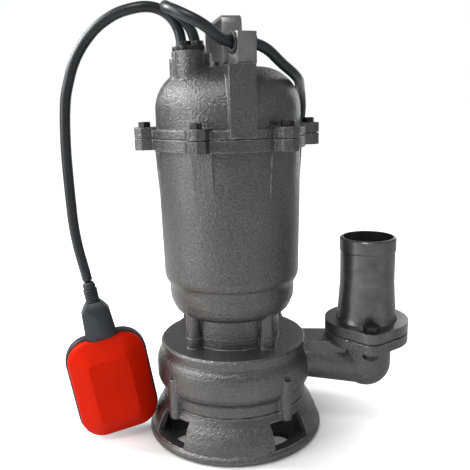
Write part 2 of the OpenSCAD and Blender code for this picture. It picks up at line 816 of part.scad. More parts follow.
module handle_outline() {
    t = handle_t;
    f = handle_front;
    b = handle_rear;
    h = handle_h;
    polygon([
        [f - foot_len, 0], [f - 2, 0], [f, 2], [f, h - 7], [f - 2, h - 2], [f - 7, h],
        [-b + 7, h], [-b + 2, h - 2], [-b, h - 7], [-b, 2], [-b + 2, 0], [-b + foot_len, 0],
        [-b + foot_len, t], [-b + t, t], [-b + t, h - 8], [-b + 4.4, h - 4.4], [-b + 8, h - t],
        [f - 8, h - t], [f - 4.4, h - 4.4], [f - t, h - 8], [f - t, t], [f - foot_len, t]
    ]);
}

module handle() color(zinc) rotate([0, 0, seat_angle]) difference() {
    translate([handle_side - handle_w / 2, 0, seat_z]) rotate([90, 0, 90])
        linear_extrude(handle_w) mirror([1, 0]) handle_outline();
    for (u = [handle_front - 13, -handle_rear + 13])
        translate([handle_side, -u, seat_z - 1]) cylinder(r = m6_r + 0.3, h = handle_t + 2);
}

module handle_screws() color(dark) rotate([0, 0, seat_angle])
    for (u = [handle_front - 13, -handle_rear + 13])
        translate([handle_side, -u, seat_z + handle_t]) {
            difference() {
                cylinder(r = 5, h = 4);
                translate([0, 0, 1.5]) hexagon(5, 4);
            }
            translate([0, 0, -handle_t - 10]) cylinder(r = m6_r, h = handle_t + 10.5);
        }

// A frame at the guide: x along its web, y towards its back
module at_guide() {
    translate([guide_at[0], guide_at[1], seat_z]) rotate([0, 0, guide_angle]) children();
}

guide_back = 9.5;
guide_mid = guide_at + guide_back * [-sin(guide_angle), cos(guide_angle)];

module cable_guide() {
    color(zinc) at_guide() difference() {
        box([-guide_w / 2, 0, 0], [guide_w / 2, guide_depth, guide_h]);
        box([-guide_w / 2 + guide_sheet, guide_sheet, guide_base_t],
            [guide_w / 2 - guide_sheet, guide_depth + 1, guide_h + 1]);
        translate([-guide_w, guide_back, grommet_z - seat_z]) rotate([0, 90, 0])
            cylinder(r = grommet_hole_r, h = 2 * guide_w);
        translate([0, guide_back, -1]) cylinder(r = m5_r + 0.3, h = 5);
    }
    color(dark) translate([guide_mid[0], guide_mid[1], seat_z + guide_base_t]) {
        cylinder(r = 4.2, h = 2.4);
        translate([0, 0, -guide_base_t - 8]) cylinder(r = m5_r, h = guide_base_t + 8.5);
    }
}

module guide_grommets() color(rubber) at_guide() for (s = [-1, 1])
    translate([s * (guide_w / 2 - guide_sheet / 2), guide_back, grommet_z - seat_z])
        rotate([0, 90, 0]) difference() {
            union() {
                translate([0, 0, -guide_sheet / 2 - grommet_lip])
                    cylinder(r = s > 0 ? grommet_inner_r : grommet_r, h = grommet_lip);
                translate([0, 0, guide_sheet / 2])
                    cylinder(r = s > 0 ? grommet_r : grommet_inner_r, h = grommet_lip);
                translate([0, 0, -guide_sheet / 2 - 0.1])
                    cylinder(r = grommet_hole_r - fit, h = guide_sheet + 0.2);
            }
            translate([0, 0, -10]) cylinder(r = cord_r + grommet_gap, h = 20);
        }

// ---- discharge ----------------------------------------------------------

module at_discharge(z) {
    translate([discharge_x, 0, z]) children();
}

module discharge_gasket() color(rubber) at_discharge(flange_z)
    linear_extrude(discharge_gasket_t) difference() {
        tipped_flange(flange_r - 0.8, tip_r - 0.8, flange_bolt_y);
        circle(r = passage_r);
        for (y = [-1, 1]) translate([0, y * flange_bolt_y]) circle(r = m8_r + 0.4);
    }

module hose_tail() color("#2b2d30") at_discharge(tail_z) difference() {
    union() {
        linear_extrude(flange_t) tipped_flange(flange_r, tip_r, flange_bolt_y);
        rotate_extrude() polygon([
            [0, 0], [tail_r + 3.6, 0], [tail_r + 3.6, flange_t - 0.5],
            [tail_r + 2.4, flange_t + 4], [tail_r + 1.2, flange_t + 17],
            [tail_r, flange_t + 36], [tail_r, flange_t + tail_len - bead_h],
            [tail_r + 0.7, flange_t + tail_len - bead_h + 1],
            [tail_r + 0.7, flange_t + tail_len - 1.5], [tail_r, flange_t + tail_len - 0.5],
            [tail_r - 1, flange_t + tail_len], [0, flange_t + tail_len]
        ]);
    }
    translate([0, 0, -1]) cylinder(r = passage_r, h = flange_t + 1);
    translate([0, 0, flange_t - 0.01]) cylinder(r1 = passage_r, r2 = tail_bore_r, h = 12);
    translate([0, 0, flange_t + 11.9]) cylinder(r = tail_bore_r, h = tail_len);
    for (y = [-1, 1]) translate([0, y * flange_bolt_y, -1])
        cylinder(r = m8_r + 0.3, h = flange_t + 2);
}

module discharge_bolts() color(dark) for (y = [-1, 1])
    translate([discharge_x, y * flange_bolt_y, tail_z + flange_t])
        hex_bolt(m8_r, m8_af, m8_head_h, 2 * flange_t + discharge_gasket_t + m8_nut_h + 2);

module discharge_nuts() color(dark) for (y = [-1, 1])
    translate([discharge_x, y * flange_bolt_y, flange_z - flange_t - m8_nut_h]) difference() {
        hexagon(m8_af, m8_nut_h);
        translate([0, 0, -1]) cylinder(r = m8_r + fit, h = m8_nut_h + 2);
    }

// ---- float switch -------------------------------------------------------

module at_float() {
    translate(float_at) rotate([0, 0, float_yaw]) rotate([0, -float_tilt, 0]) children();
}

// A rounded slab from start to straight, bevelled down to a flat panel
module pillow(w, l, r, start, straight, depth, panel_w, panel_l) {
    hull() {
        translate([0, 0, start]) linear_extrude(straight - start) round_rect(w, l, r, $fn = 32);
        translate([0, 0, depth - 1]) linear_extrude(1) round_rect(panel_w, panel_l, 5, $fn = 32);
    }
}

half_depth = float_depth / 2;
boot_w = 28;
boot_d = 24;

// The boot's section: a flat hexagon with a narrow ridge at the front and back
module boot_prism() {
    w = boot_w / 2;
    d = boot_d / 2;
    translate([0, 0, boot_low]) linear_extrude(boot_high - boot_low) polygon([
        [-w, -6.5], [-1, -d], [1, -d], [w, -6.5], [w, 6.5], [1, d], [-1, d], [-w, 6.5]
    ]);
}

module float_front_shell() color(red) at_float() difference() {
    w = float_w - 2 * float_rim;
    l = float_len - 2 * float_rim;
    rotate([90, 0, 0]) difference() {
        pillow(w, l, 20.2, -float_split, 8, half_depth, float_w - 38, float_len - 39);
        pillow(w - 2 * float_wall, l - 2 * float_wall, 17.7, -float_split - 0.5, 6.5,
            half_depth - float_wall, float_w - 40, float_len - 41);
    }
    boot_prism();
}

module float_back_shell() color("#23262c") at_float() difference() {
    w = float_w;
    l = float_len;
    rotate([-90, 0, 0]) difference() {
        pillow(w, l, 22.8, float_split, 8, half_depth, float_w - 36, float_len - 37);
        pillow(w - 2 * float_wall - 2, l - 2 * float_wall - 2, 18.5, float_split - 0.5, 6.5,
            half_depth - float_wall, float_w - 40, float_len - 41);
    }
    boot_prism();
}

module float_boot() color("#23262c") at_float() {
    intersection() {
        boot_prism();
        translate([0, boot_d / 2 + 1, 0]) rotate([90, 0, 0]) linear_extrude(boot_d + 2) polygon([
            [-boot_w / 2, boot_low], [boot_w / 2, boot_low], [boot_w / 2, boot_low + 9],
            [boot_w / 2 - 1.2, boot_high - 9.5], [6.2, boot_high],
            [-6.2, boot_high], [1.2 - boot_w / 2, boot_high - 9.5], [-boot_w / 2, boot_low + 9]
        ]);
        translate([-boot_w / 2 - 1, 0, 0]) rotate([90, 0, 90]) linear_extrude(boot_w + 2) polygon([
            [-9, boot_low], [9, boot_low], [boot_d / 2, boot_low + 9], [boot_d / 2, boot_high - 11],
            [6.2, boot_high], [-6.2, boot_high], [-boot_d / 2, boot_high - 11], [-boot_d / 2, boot_low + 9]
        ]);
    }
    translate([0, 0, boot_high - 1]) cylinder(r = 5, h = hinge_up - boot_high);
    for (k = [0:4]) translate([0, 0, boot_high + 0.4 + 2.6 * k]) cylinder(r = 6.25, h = 1.5);
    translate([0, 0, hinge_up]) intersection() {
        sphere(r = knuckle_r);
        box([-8, -8, -8], [8, 8, knuckle_r - 0.2]);
    }
}

cage_top = 26;

module float_ball_cage() color("#d8d3c6") at_float() difference() {
    union() {
        translate([0, 0, ball_low - ball_r - 2.8])
            cylinder(r = ball_r + 2.5, h = cage_top - ball_low + ball_r + 2.8);
        box([-8, 0, -float_len / 2 + float_wall + 1], [8, 5.5, ball_low - ball_r - 1]);
    }
    translate([0, 0, ball_low - ball_r - 0.3])
        cylinder(r = ball_r + 0.5, h = cage_top - ball_low + ball_r + 2);
    box([-5, -15, 11], [5, 15, 23]);
}

module float_ball() color(steel) at_float() translate([0, 0, ball_low]) sphere(r = ball_r);

module float_lever() color(zinc) at_float() {
    box([-3.5, -8, 17], [3.5, 9, 18]);
    translate([0, 0, 14]) cylinder(r = 2, h = 3.5);
    translate([-4.7, 9, 17.5]) rotate([0, 90, 0]) cylinder(r = 1.2, h = 9.4);
}

module float_switch() color(dark) at_float() {
    box([-10, -6, cage_top], [10, 6, cage_top + 9]);
    for (x = [-7, 0, 7]) box([x - 0.5, -2, cage_top + 8], [x + 0.5, 2, cage_top + 13]);
    translate([0, -3, cage_top - 3]) cylinder(r = 1.2, h = 4);
}

// ---- cords --------------------------------------------------------------

float_route = [
    [-36, -23, 346], [-36, -23, 355], [-36.5, -22, 363.5], [-38.5, -21.5, 371.5],
    [-42.5, -23, 379], [-49, -26.5, 385], [-56.5, -30, 388], [-65, -33.5, 388.5],
    [-74.5, -35.5, 387], [-84, -36, 384.5], [-92, -36, 381], [-103, -36, 374],
    [-112.5, -35.5, 365], [-120.5, -35.5, 354.5], [-126.5, -35.5, 343.5],
    [-131, -35.5, 331], [-134.5, -35.5, 318.5], [-136.5, -35, 305.5], [-137.5, -35, 293],
    [-138.5, -34.5, 271], [-138.5, -34, 249], [-138, -34, 227], [-137, -34, 205],
    [-134.5, -34.5, 187], [-132, -35, 175], [-129.7, -35.2, 165], [-128.2, -34.7, 156.2]
];

power_route = [
    [-24, -22, 346], [-24, -22, 355], [-25, -22, 363], [-28, -23.5, 371.5],
    [-32.5, -28, 378.5], [-37.5, -34.5, 383], [-41.5, -43, 385.5], [-42.5, -52, 385.5],
    [-41.5, -60.5, 384.5], [-37.5, -69, 382], [-31, -75, 379], [-23, -78, 375],
    [-15, -78, 371], [-8, -75, 366.5], [-2.5, -70.5, 362], [2.5, -64.5, 358.5],
    [9, -58.5, 356.8], [16, -54.1, 356.5], [23.5, -49.9, 356.3], [31, -45, 354.5],
    [37.5, -40, 351], [43, -34, 346], [49.5, -26, 340], [56, -17, 335],
    [60.5, -6.5, 331], [63, 5.5, 328], [64, 17.5, 324.5], [65, 29.5, 319.5],
    [66, 39.5, 312.5], [66.5, 47, 303], [65.5, 52, 292], [63, 56, 280.5],
    [60, 60, 269], [57, 63.5, 257.5], [53.5, 67, 246], [47.5, 73, 221.5],
    [41.5, 77.5, 196.5], [36, 81.5, 171.5], [30.5, 84.5, 146.5], [24.5, 87.5, 121],
    [18, 89.5, 97], [12, 91, 74], [9, 91.5, 58], [8, 92, 44], [9.5, 94.5, 29.5],
    [13.5, 101.5, 17], [20, 112.5, 8.5], [24.8, 120.2, 6.1], [29.3, 128, 6.1]
];

module float_cable() color(rubber) tube(float_route, cord_r, cord_sides);

module power_cord() color(rubber) tube(power_route, cord_r, cord_sides);

// The coil: spirals inwards and outwards by turns, and climbs where it turns back
coil_steps = 24;
coil_n = coil_steps * coil_turns * coil_layers;

function coil_radius(s) =
    let (k = s / coil_turns, f = k - floor(k), back = floor(k) % 2 == 1)
    coil_outer - coil_pitch * coil_turns * (back ? 1 - f : f);

function coil_rise(s) =
    let (k = round(s / coil_turns), d = s - k * coil_turns)
    k < 1 || k >= coil_layers ? coil_pitch * min(max(k, 0), coil_layers - 1) :
    coil_pitch * (k - 1 + min(max(2 * d + 0.5, 0), 1));

coil_spiral = [for (i = [0:coil_n])
    let (s = i / coil_steps, a = 360 * s, r = coil_radius(s))
    [r * cos(a), r * sin(a), coil_z + coil_rise(s)]];

coil_top_z = coil_z + coil_pitch * (coil_layers - 1);
coil_local = concat([[coil_outer, -cord_d, coil_z]], coil_spiral,
    [[coil_outer, cord_d, coil_top_z]]);

module at_coil() {
    translate([coil_at[0], coil_at[1], 0]) rotate([0, 0, coil_start]) children();
}

module cord_coil() color(rubber) at_coil() tube(coil_local, cord_r, 6, [1, 0, 0]);

tail_bend = 42;
plug_z = coil_top_z + 23.2;

function tail_rise(a) = (plug_z - coil_top_z) * pow(a / 90, 2) * (3 - a / 45);

tail_local = concat(
    [[coil_outer, cord_d, coil_top_z], [coil_outer, cord_d + 1, coil_top_z]],
    [for (a = [7.5:7.5:90]) [coil_outer - tail_bend + tail_bend * cos(a),
        cord_d + tail_bend * sin(a), coil_top_z + tail_rise(a)]],
    [[coil_outer - tail_bend - cord_d, cord_d + tail_bend, plug_z]]
);

module cord_tail() color(rubber) at_coil() tube(tail_local, cord_r, 8, [1, 0, 0]);

module at_plug() {
    at_coil() translate([coil_outer - tail_bend - cord_d, cord_d + tail_bend, plug_z])
        rotate([0, -90, 0]) children();
}

module plug_body() color(rubber) at_plug() difference() {
    union() {
        cylinder(r1 = cord_r + 0.6, r2 = cord_r + 3, h = 26);
        translate([0, 0, 25]) cylinder(r1 = 11, r2 = 18, h = 14);
        translate([0, 0, 39]) cylinder(r = 18, h = 20);
    }
    for (s = [-1, 1]) translate([0, s * 9.5, 50]) cylinder(r = 1.8 + fit, h = 10);
}

module plug_pins() color(zinc) at_plug() for (s = [-1, 1]) translate([0, s * 9.5, 50]) {
    cylinder(r = 1.8, h = 10);
    translate([0, 0, 9]) cylinder(r = 2.4, h = 17);
    translate([0, 0, 26]) cylinder(r1 = 2.4, r2 = 1.4, h = 2);
}

module cord_tie() color(dark) at_coil() difference() {
    low = coil_outer - coil_pitch * (coil_turns - 0.5) - cord_r - 0.5;
    high = coil_outer - coil_pitch * 0.5 + cord_r + 0.5;
    top = coil_top_z + cord_r + 0.3;
    box([-high - tie_t, -tie_w / 2, 0], [-low + tie_t, tie_w / 2, top + tie_t]);
    box([-high, -tie_w, tie_t], [-low, tie_w, top]);
}

// ---- drawing ------------------------------------------------------------

base_stand();
base_bolts();
suction_plate();
volute_casing();
cutter();
impeller();
impeller_nut();
impeller_key();
neck_screws();
seal_housing();
seal_seat();
seal_head();
lip_seal();
motor_casing();
oil_plug();
lower_bearing_outer();
lower_bearing_balls();
lower_bearing_inner();
upper_bearing_outer();
upper_bearing_balls();
upper_bearing_inner();
shaft();
rotor_core();
rotor_cage();
stator_core();
stator_windings();
upper_bracket();
capacitor();
capacitor_clip();
thermal_protector();
terminal_block();
top_cover();
cover_gasket();
cover_bolts();
gland_plate();
gland_screws();
gland_sleeves();
handle();
handle_screws();
cable_guide();
guide_grommets();
discharge_gasket();
hose_tail();
discharge_bolts();
discharge_nuts();
float_front_shell();
float_back_shell();
float_boot();
float_ball();
float_ball_cage();
float_switch();
float_lever();
float_cable();
power_cord();
cord_coil();
cord_tail();
cord_tie();
plug_body();
plug_pins();
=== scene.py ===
"""Finishes and fine pieces for a submersible sump pump with a float switch. Sizes are in metres."""
import json
import math

import bmesh
import bpy
from mathutils import Matrix, Vector

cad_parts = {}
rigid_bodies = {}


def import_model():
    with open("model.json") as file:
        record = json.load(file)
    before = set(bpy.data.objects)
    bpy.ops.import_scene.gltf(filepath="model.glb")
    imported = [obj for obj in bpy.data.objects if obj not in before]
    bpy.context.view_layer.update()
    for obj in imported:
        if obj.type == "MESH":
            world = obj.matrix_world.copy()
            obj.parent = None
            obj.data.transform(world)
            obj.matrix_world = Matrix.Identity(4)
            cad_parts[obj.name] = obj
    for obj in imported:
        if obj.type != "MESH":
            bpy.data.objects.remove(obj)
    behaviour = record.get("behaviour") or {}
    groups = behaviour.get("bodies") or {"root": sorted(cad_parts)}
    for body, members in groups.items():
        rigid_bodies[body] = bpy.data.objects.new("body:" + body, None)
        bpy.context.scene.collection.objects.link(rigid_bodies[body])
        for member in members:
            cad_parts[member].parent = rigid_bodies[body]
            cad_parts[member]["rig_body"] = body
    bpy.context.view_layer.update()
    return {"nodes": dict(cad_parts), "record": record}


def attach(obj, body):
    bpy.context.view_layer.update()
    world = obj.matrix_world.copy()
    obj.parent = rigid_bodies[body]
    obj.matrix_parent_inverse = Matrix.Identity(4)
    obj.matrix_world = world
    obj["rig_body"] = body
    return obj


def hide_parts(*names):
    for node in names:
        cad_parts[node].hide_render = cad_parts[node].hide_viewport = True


MM = 0.001
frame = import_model()
nodes = frame["nodes"]
parts = {part["node"]: part for part in frame["record"]["subparts"]}


# ---- camera ---------------------------------------------------------------

def set_camera():
    """A near, slightly raised view from the front, tipped a little to one side."""
    data = bpy.data.cameras.new("view")
    camera = bpy.data.objects.new("view", data)
    bpy.context.scene.collection.objects.link(camera)
    data.sensor_width = 36
    data.lens = 47.7
    data.clip_start = 0.01
    data.clip_end = 50
    turn = Matrix.Rotation(math.radians(4.5), 4, "Z")
    tip = Matrix.Rotation(math.radians(90 - 12.42), 4, "X")
    roll = Matrix.Rotation(math.radians(-1.3), 4, "Z")
    camera.matrix_world = Matrix.Translation((0.0482, -0.5644, 0.3140)) @ turn @ tip @ roll
    bpy.context.scene.camera = camera


# ---- cord routes ----------------------------------------------------------

FLOAT_CABLE_ROUTE = [
    (-36, -23, 346), (-36, -23, 355), (-36.5, -22, 363.5), (-38.5, -21.5, 371.5),
    (-42.5, -23, 379), (-49, -26.5, 385), (-56.5, -30, 388), (-65, -33.5, 388.5),
    (-74.5, -35.5, 387), (-84, -36, 384.5), (-92, -36, 381), (-103, -36, 374),
    (-112.5, -35.5, 365), (-120.5, -35.5, 354.5), (-126.5, -35.5, 343.5),
    (-131, -35.5, 331), (-134.5, -35.5, 318.5), (-136.5, -35, 305.5), (-137.5, -35, 293),
    (-138.5, -34.5, 271), (-138.5, -34, 249), (-138, -34, 227), (-137, -34, 205),
    (-134.5, -34.5, 187), (-132, -35, 175), (-129.7, -35.2, 165), (-128.2, -34.7, 156.2),
]
MAINS_ROUTE = [
    (-24, -22, 346), (-24, -22, 355), (-25, -22, 363), (-28, -23.5, 371.5),
    (-32.5, -28, 378.5), (-37.5, -34.5, 383), (-41.5, -43, 385.5), (-42.5, -52, 385.5),
    (-41.5, -60.5, 384.5), (-37.5, -69, 382), (-31, -75, 379), (-23, -78, 375),
    (-15, -78, 371), (-8, -75, 366.5), (-2.5, -70.5, 362), (2.5, -64.5, 358.5),
    (9, -58.5, 356.8), (16, -54.1, 356.5), (23.5, -49.9, 356.3), (31, -45, 354.5),
    (37.5, -40, 351), (43, -34, 346), (49.5, -26, 340), (56, -17, 335),
    (60.5, -6.5, 331), (63, 5.5, 328), (64, 17.5, 324.5), (65, 29.5, 319.5),
    (66, 39.5, 312.5), (66.5, 47, 303), (65.5, 52, 292), (63, 56, 280.5),
    (60, 60, 269), (57, 63.5, 257.5), (53.5, 67, 246), (47.5, 73, 221.5),
    (41.5, 77.5, 196.5), (36, 81.5, 171.5), (30.5, 84.5, 146.5), (24.5, 87.5, 121),
    (18, 89.5, 97), (12, 91, 74), (9, 91.5, 58), (8, 92, 44), (9.5, 94.5, 29.5),
    (13.5, 101.5, 17), (20, 112.5, 8.5), (24.8, 120.2, 6.1), (29.3, 128, 6.1),
]
COIL_AT = (-22, 168)
COIL_TURN = -30
COIL_OUTER = 64.4
COIL_STEP = 9.6
COIL_LOW = 6.1
COIL_HIGH = 34.9
COIL_LAYER_TURNS = 3
COIL_LAYERS = 4
COIL_STEPS = 24
TAIL_BEND = 42
TAIL_LIFT = 23.2
PLUG_AT = (13.4, 51, 58.1)
CORD_RADIUS = 4.5


def in_coil_frame(x, y, z):
    a = math.radians(COIL_TURN)
    return (COIL_AT[0] + x * math.cos(a) - y * math.sin(a),
            COIL_AT[1] + x * math.sin(a) + y * math.cos(a), z)


def coil_point(s):
    """A point of the flat-wound coil, s turns from its start: out and in on four layers."""
    layer = math.floor(s / COIL_LAYER_TURNS)
    part = s / COIL_LAYER_TURNS - layer
    radius = COIL_OUTER - COIL_LAYER_TURNS * COIL_STEP * (1 - part if layer % 2 else part)
    k = math.floor(s / COIL_LAYER_TURNS + 0.5)
    d = s - COIL_LAYER_TURNS * k
    if k < 1 or k >= COIL_LAYERS:
        rise = COIL_STEP * min(max(k, 0), COIL_LAYERS - 1)
    else:
        rise = COIL_STEP * (k - 1 + min(max(2 * d + 0.5, 0), 1))
    a = 2 * math.pi * s
    return in_coil_frame(radius * math.cos(a), radius * math.sin(a), COIL_LOW + rise)


def tail_point(a):
    """A point of the quarter turn that lifts the cord from the coil to its plug."""
    rise = TAIL_LIFT * (a / 90) ** 2 * (3 - a / 45)
    return in_coil_frame(COIL_OUTER - TAIL_BEND + TAIL_BEND * math.cos(math.radians(a)),
                         2 * CORD_RADIUS + TAIL_BEND * math.sin(math.radians(a)), COIL_HIGH + rise)


def whole_mains_route():
    """The gland, the loop, the guide, down the back, the coil and the tail to the plug."""
    last = COIL_LAYER_TURNS * COIL_LAYERS * COIL_STEPS
    coil = [coil_point(i / COIL_STEPS) for i in range(last + 1)]
    start = in_coil_frame(COIL_OUTER, 2 * CORD_RADIUS, COIL_HIGH)
    tail = [tail_point(7.5 * i) for i in range(1, 13)]
    end = in_coil_frame(PLUG_AT[0] - 0.2, PLUG_AT[1], PLUG_AT[2])
    return MAINS_ROUTE + coil + [start] + tail + [end]


def smooth_path(points, cuts):
    """Points in metres on a smooth curve through the route's points."""
    points = [Vector(p) * MM for p in points]
    points = [2 * points[0] - points[1]] + points + [2 * points[-1] - points[-2]]
    path = []
    for i in range(1, len(points) - 2):
        a, b, c, d = points[i - 1:i + 3]
        ta = 0
        tb = ta + math.sqrt((b - a).length)
        tc = tb + math.sqrt((c - b).length)
        td = tc + math.sqrt((d - c).length)
        for k in range(cuts):
            t = tb + (tc - tb) * k / cuts
            ab = a.lerp(b, (t - ta) / (tb - ta))
            bc = b.lerp(c, (t - tb) / (tc - tb))
            cd = c.lerp(d, (t - tc) / (td - tc))
            abc = ab.lerp(bc, (t - ta) / (tc - ta))
            bcd = bc.lerp(cd, (t - tb) / (td - tb))
            path.append(abc.lerp(bcd, (t - tb) / (tc - tb)))
    path.append(points[-2])
    return path


def path_length(path):
    return sum((b - a).length for a, b in zip(path, path[1:]))


# ---- mesh making ----------------------------------------------------------

def new_piece(name, verts, faces, smooth=True):
    """An object at the origin with this mesh."""
    mesh = bpy.data.meshes.new(name)
    mesh.from_pydata([tuple(v) for v in verts], [], faces)
    mesh.update()
    if smooth:
        mesh.polygons.foreach_set("use_smooth", [True] * len(mesh.polygons))
    piece = bpy.data.objects.new(name, mesh)
    bpy.context.scene.collection.objects.link(piece)
    return piece


def skin(rings, closed_ends=True):
    """Vertices and faces of a skin over rings that have the same number of points."""
    verts = [v for ring in rings for v in ring]
    n = len(rings[0])
    faces = []
    for i in range(len(rings) - 1):
        for j in range(n):
            k = (j + 1) % n
            faces.append((i * n + j, i * n + k, (i + 1) * n + k, (i + 1) * n + j))
    if closed_ends:
        faces.append(tuple(reversed(range(n))))
        faces.append(tuple(range((len(rings) - 1) * n, len(rings) * n)))
    return verts, faces


def tube_rings(path, radius, sides):
    """Rings square to a path, carried along it without twist."""
    rings = []
    across = None
    for i, p in enumerate(path):
        ahead = (path[min(i + 1, len(path) - 1)] - path[max(i - 1, 0)]).normalized()
        if across is None:
            across = ahead.orthogonal().normalized()
        across = (across - ahead * across.dot(ahead)).normalized()
        up = ahead.cross(across)
        rings.append([p + radius * (math.cos(a) * across + math.sin(a) * up)
                      for a in (2 * math.pi * k / sides for k in range(sides))])
    return rings


def lathe_rings(profile, steps, place):
    """Rings of a turned shape; profile is (radius, height) in mm, and place puts z on its axis."""
    return [[place @ Vector((r * MM * math.cos(a), r * MM * math.sin(a), z * MM))
             for a in (2 * math.pi * k / steps for k in range(steps))] for r, z in profile]


def turned(name, profile, steps=48, place=Matrix(), hollow=False):
    """A turned piece. A hollow one's profile runs up the outside and down the bore."""
    rings = lathe_rings(profile, steps, place)
    if hollow:
        rings.append(rings[0])
        verts, faces = skin(rings, False)
        piece = new_piece(name, verts, faces)
        weld(piece, 1e-6)
        return piece
    verts, faces = skin(rings)
    return new_piece(name, verts, faces)


def weld(piece, distance=1e-5):
    """Merges doubles and turns the faces outwards."""
    mesh = bmesh.new()
    mesh.from_mesh(piece.data)
    bmesh.ops.remove_doubles(mesh, verts=mesh.verts, dist=distance)
    bmesh.ops.recalc_face_normals(mesh, faces=mesh.faces)
    mesh.to_mesh(piece.data)
    mesh.free()


def join(name, pieces):
    """One piece from several, each closed in itself."""
    verts, faces, smooth = [], [], []
    for piece in pieces:
        start = len(verts)
        verts += [v.co.copy() for v in piece.data.vertices]
        faces += [tuple(start + i for i in p.vertices) for p in piece.data.polygons]
        smooth += [p.use_smooth for p in piece.data.polygons]
        bpy.data.objects.remove(piece)
    made = new_piece(name, verts, faces, False)
    made.data.polygons.foreach_set("use_smooth", smooth)
    return made


def crisp(piece, angle=35):
    """Smooth shading that keeps the edges sharper than the angle."""
    mesh = bmesh.new()
    mesh.from_mesh(piece.data)
    for edge in mesh.edges:
        edge.smooth = edge.is_manifold and edge.calc_face_angle(0) < math.radians(angle)
    for face in mesh.faces:
        face.smooth = True
    mesh.to_mesh(piece.data)
    mesh.free()
    return piece


# ---- finishes -------------------------------------------------------------

class Signal:
    """A shader socket that sums and scales like a number."""

    def __init__(self, finish, socket):
        self.finish = finish
        self.socket = socket

    def math(self, operation, *terms):
        return self.finish.node("ShaderNodeMath", {"operation": operation}, dict(enumerate(terms)))

    def __add__(self, other):
        return self.math("ADD", self, other)

    def __rsub__(self, other):
        return self.math("SUBTRACT", other, self)

    def __mul__(self, other):
        return self.math("MULTIPLY", self, other)

    def __pow__(self, other):
        return self.math("POWER", self, other)


class Finish:
    """A material made from nodes on object coordinates."""

    def __init__(self, name):
        self.material = bpy.data.materials.new(name)
        self.material.use_nodes = True
        self.tree = self.material.node_tree
        self.tree.nodes.clear()
        self.place = self.node("ShaderNodeTexCoord", out="Object")

    def node(self, kind, settings=None, inputs=None, out=0):
        """Adds a node, links or sets its inputs, and gives one of its outputs."""
        made = self.tree.nodes.new(kind)
        for key, value in (settings or {}).items():
            setattr(made, key, value)
        for key, value in (inputs or {}).items():
            if isinstance(value, Signal):
                self.tree.links.new(value.socket, made.inputs[key])
            else:
                made.inputs[key].default_value = value
        return Signal(self, made.outputs[out])

    def noise(self, size, detail=2.0, roughness=0.5, place=None, seed=0.0):
        """Noise from 0 to 1 whose grains are about size mm across."""
        return self.node("ShaderNodeTexNoise", {"noise_dimensions": "4D"},
                         {"Vector": place or self.place, "W": seed, "Scale": 1 / (size * MM),
                          "Detail": detail, "Roughness": roughness})

    def stretched(self, x, y, z):
        """The place of a point, scaled along each axis."""
        return self.node("ShaderNodeMapping", {}, {"Vector": self.place, "Scale": (x, y, z)})

    def between(self, value, low, high, out_low=0.0, out_high=1.0):
        return self.node("ShaderNodeMapRange", {}, {"Value": value, "From Min": low, "From Max": high,
                                                    "To Min": out_low, "To Max": out_high})

    def mix(self, share, first, second):
        """One colour turning into another as share goes from 0 to 1."""
        return self.node("ShaderNodeMix", {"data_type": "RGBA"}, {0: share, 6: first, 7: second}, out=2)

    def rounded(self, radius):
        """The normal of the surface with its edges eased to a radius in mm."""
        return self.node("ShaderNodeBevel", {"samples": 4}, {"Radius": radius * MM})

    def edges(self, rounded, low, high):
        """1 along an eased edge, 0 on the open surface."""
        flat = self.node("ShaderNodeNewGeometry", out="Normal")
        same = self.node("ShaderNodeVectorMath", {"operation": "DOT_PRODUCT"},
                         {0: rounded, 1: flat}, "Value")
        return self.between(1 - same, low, high)

    def bump(self, height, depth, strength=1.0, normal=None):
        """Relief of a depth in mm from a height that goes from 0 to 1."""
        inputs = {"Height": height, "Distance": depth * MM, "Strength": strength}
        if normal:
            inputs["Normal"] = normal
        return self.node("ShaderNodeBump", {}, inputs)

    def surface(self, **inputs):
        """Ends the material in a Principled shader; underscores stand for spaces."""
        named = {key.replace("_", " "): value for key, value in inputs.items()}
        shader = self.node("ShaderNodeBsdfPrincipled", {}, named)
        self.node_output(shader)
        return self.material

    def node_output(self, shader):
        end = self.tree.nodes.new("ShaderNodeOutputMaterial")
        self.tree.links.new(shader.socket, end.inputs["Surface"])


def grey(level, warm=0.0):
    return (level * (1 + warm), level, level * (1 - warm), 1)


def cast_iron(name, tone, relief, edge_radius=1.5):
    """Painted sand-cast iron: a satin coat over sandy relief, paler along its edges as rubbed wear and
    as a painted highlight.
    """
    f = Finish(name)
    sand = f.noise(0.8, 1, 0.5)
    grit = f.noise(1.9, 1, 0.5, seed=3.0)
    swell = f.noise(9, 1, 0.5, seed=7.0)
    patches = f.noise(32, 3, 0.6, seed=11.0)
    eased = f.rounded(edge_radius)
    rub_and_glint = f.edges(eased, 0.02, 0.3) * f.between(f.noise(5, 2, 0.6, seed=5.0), 0.35, 0.65)
    height = grit * 0.65 + sand * 0.35
    colour = f.mix(f.between(patches, 0.3, 0.7), grey(tone * 0.88), grey(tone * 1.15))
    # Painted shade: the colour darkens in the low points of the sandy relief.
    colour = f.mix(f.between(height, 0.36, 0.6), grey(tone * 0.7), colour)
    # Painted highlight, partly rubbed wear: the eased edges turn pale grey.
    colour = f.mix(rub_and_glint * 0.75, colour, grey(tone * 4.2))
    normal = f.bump(height, relief, 1.0, f.bump(swell, 0.35, 0.5, eased))
    rough = f.between(patches, 0.25, 0.75, 0.27, 0.36)
    return f.surface(Base_Color=colour, Roughness=rough, Normal=normal, Metallic=0.8)


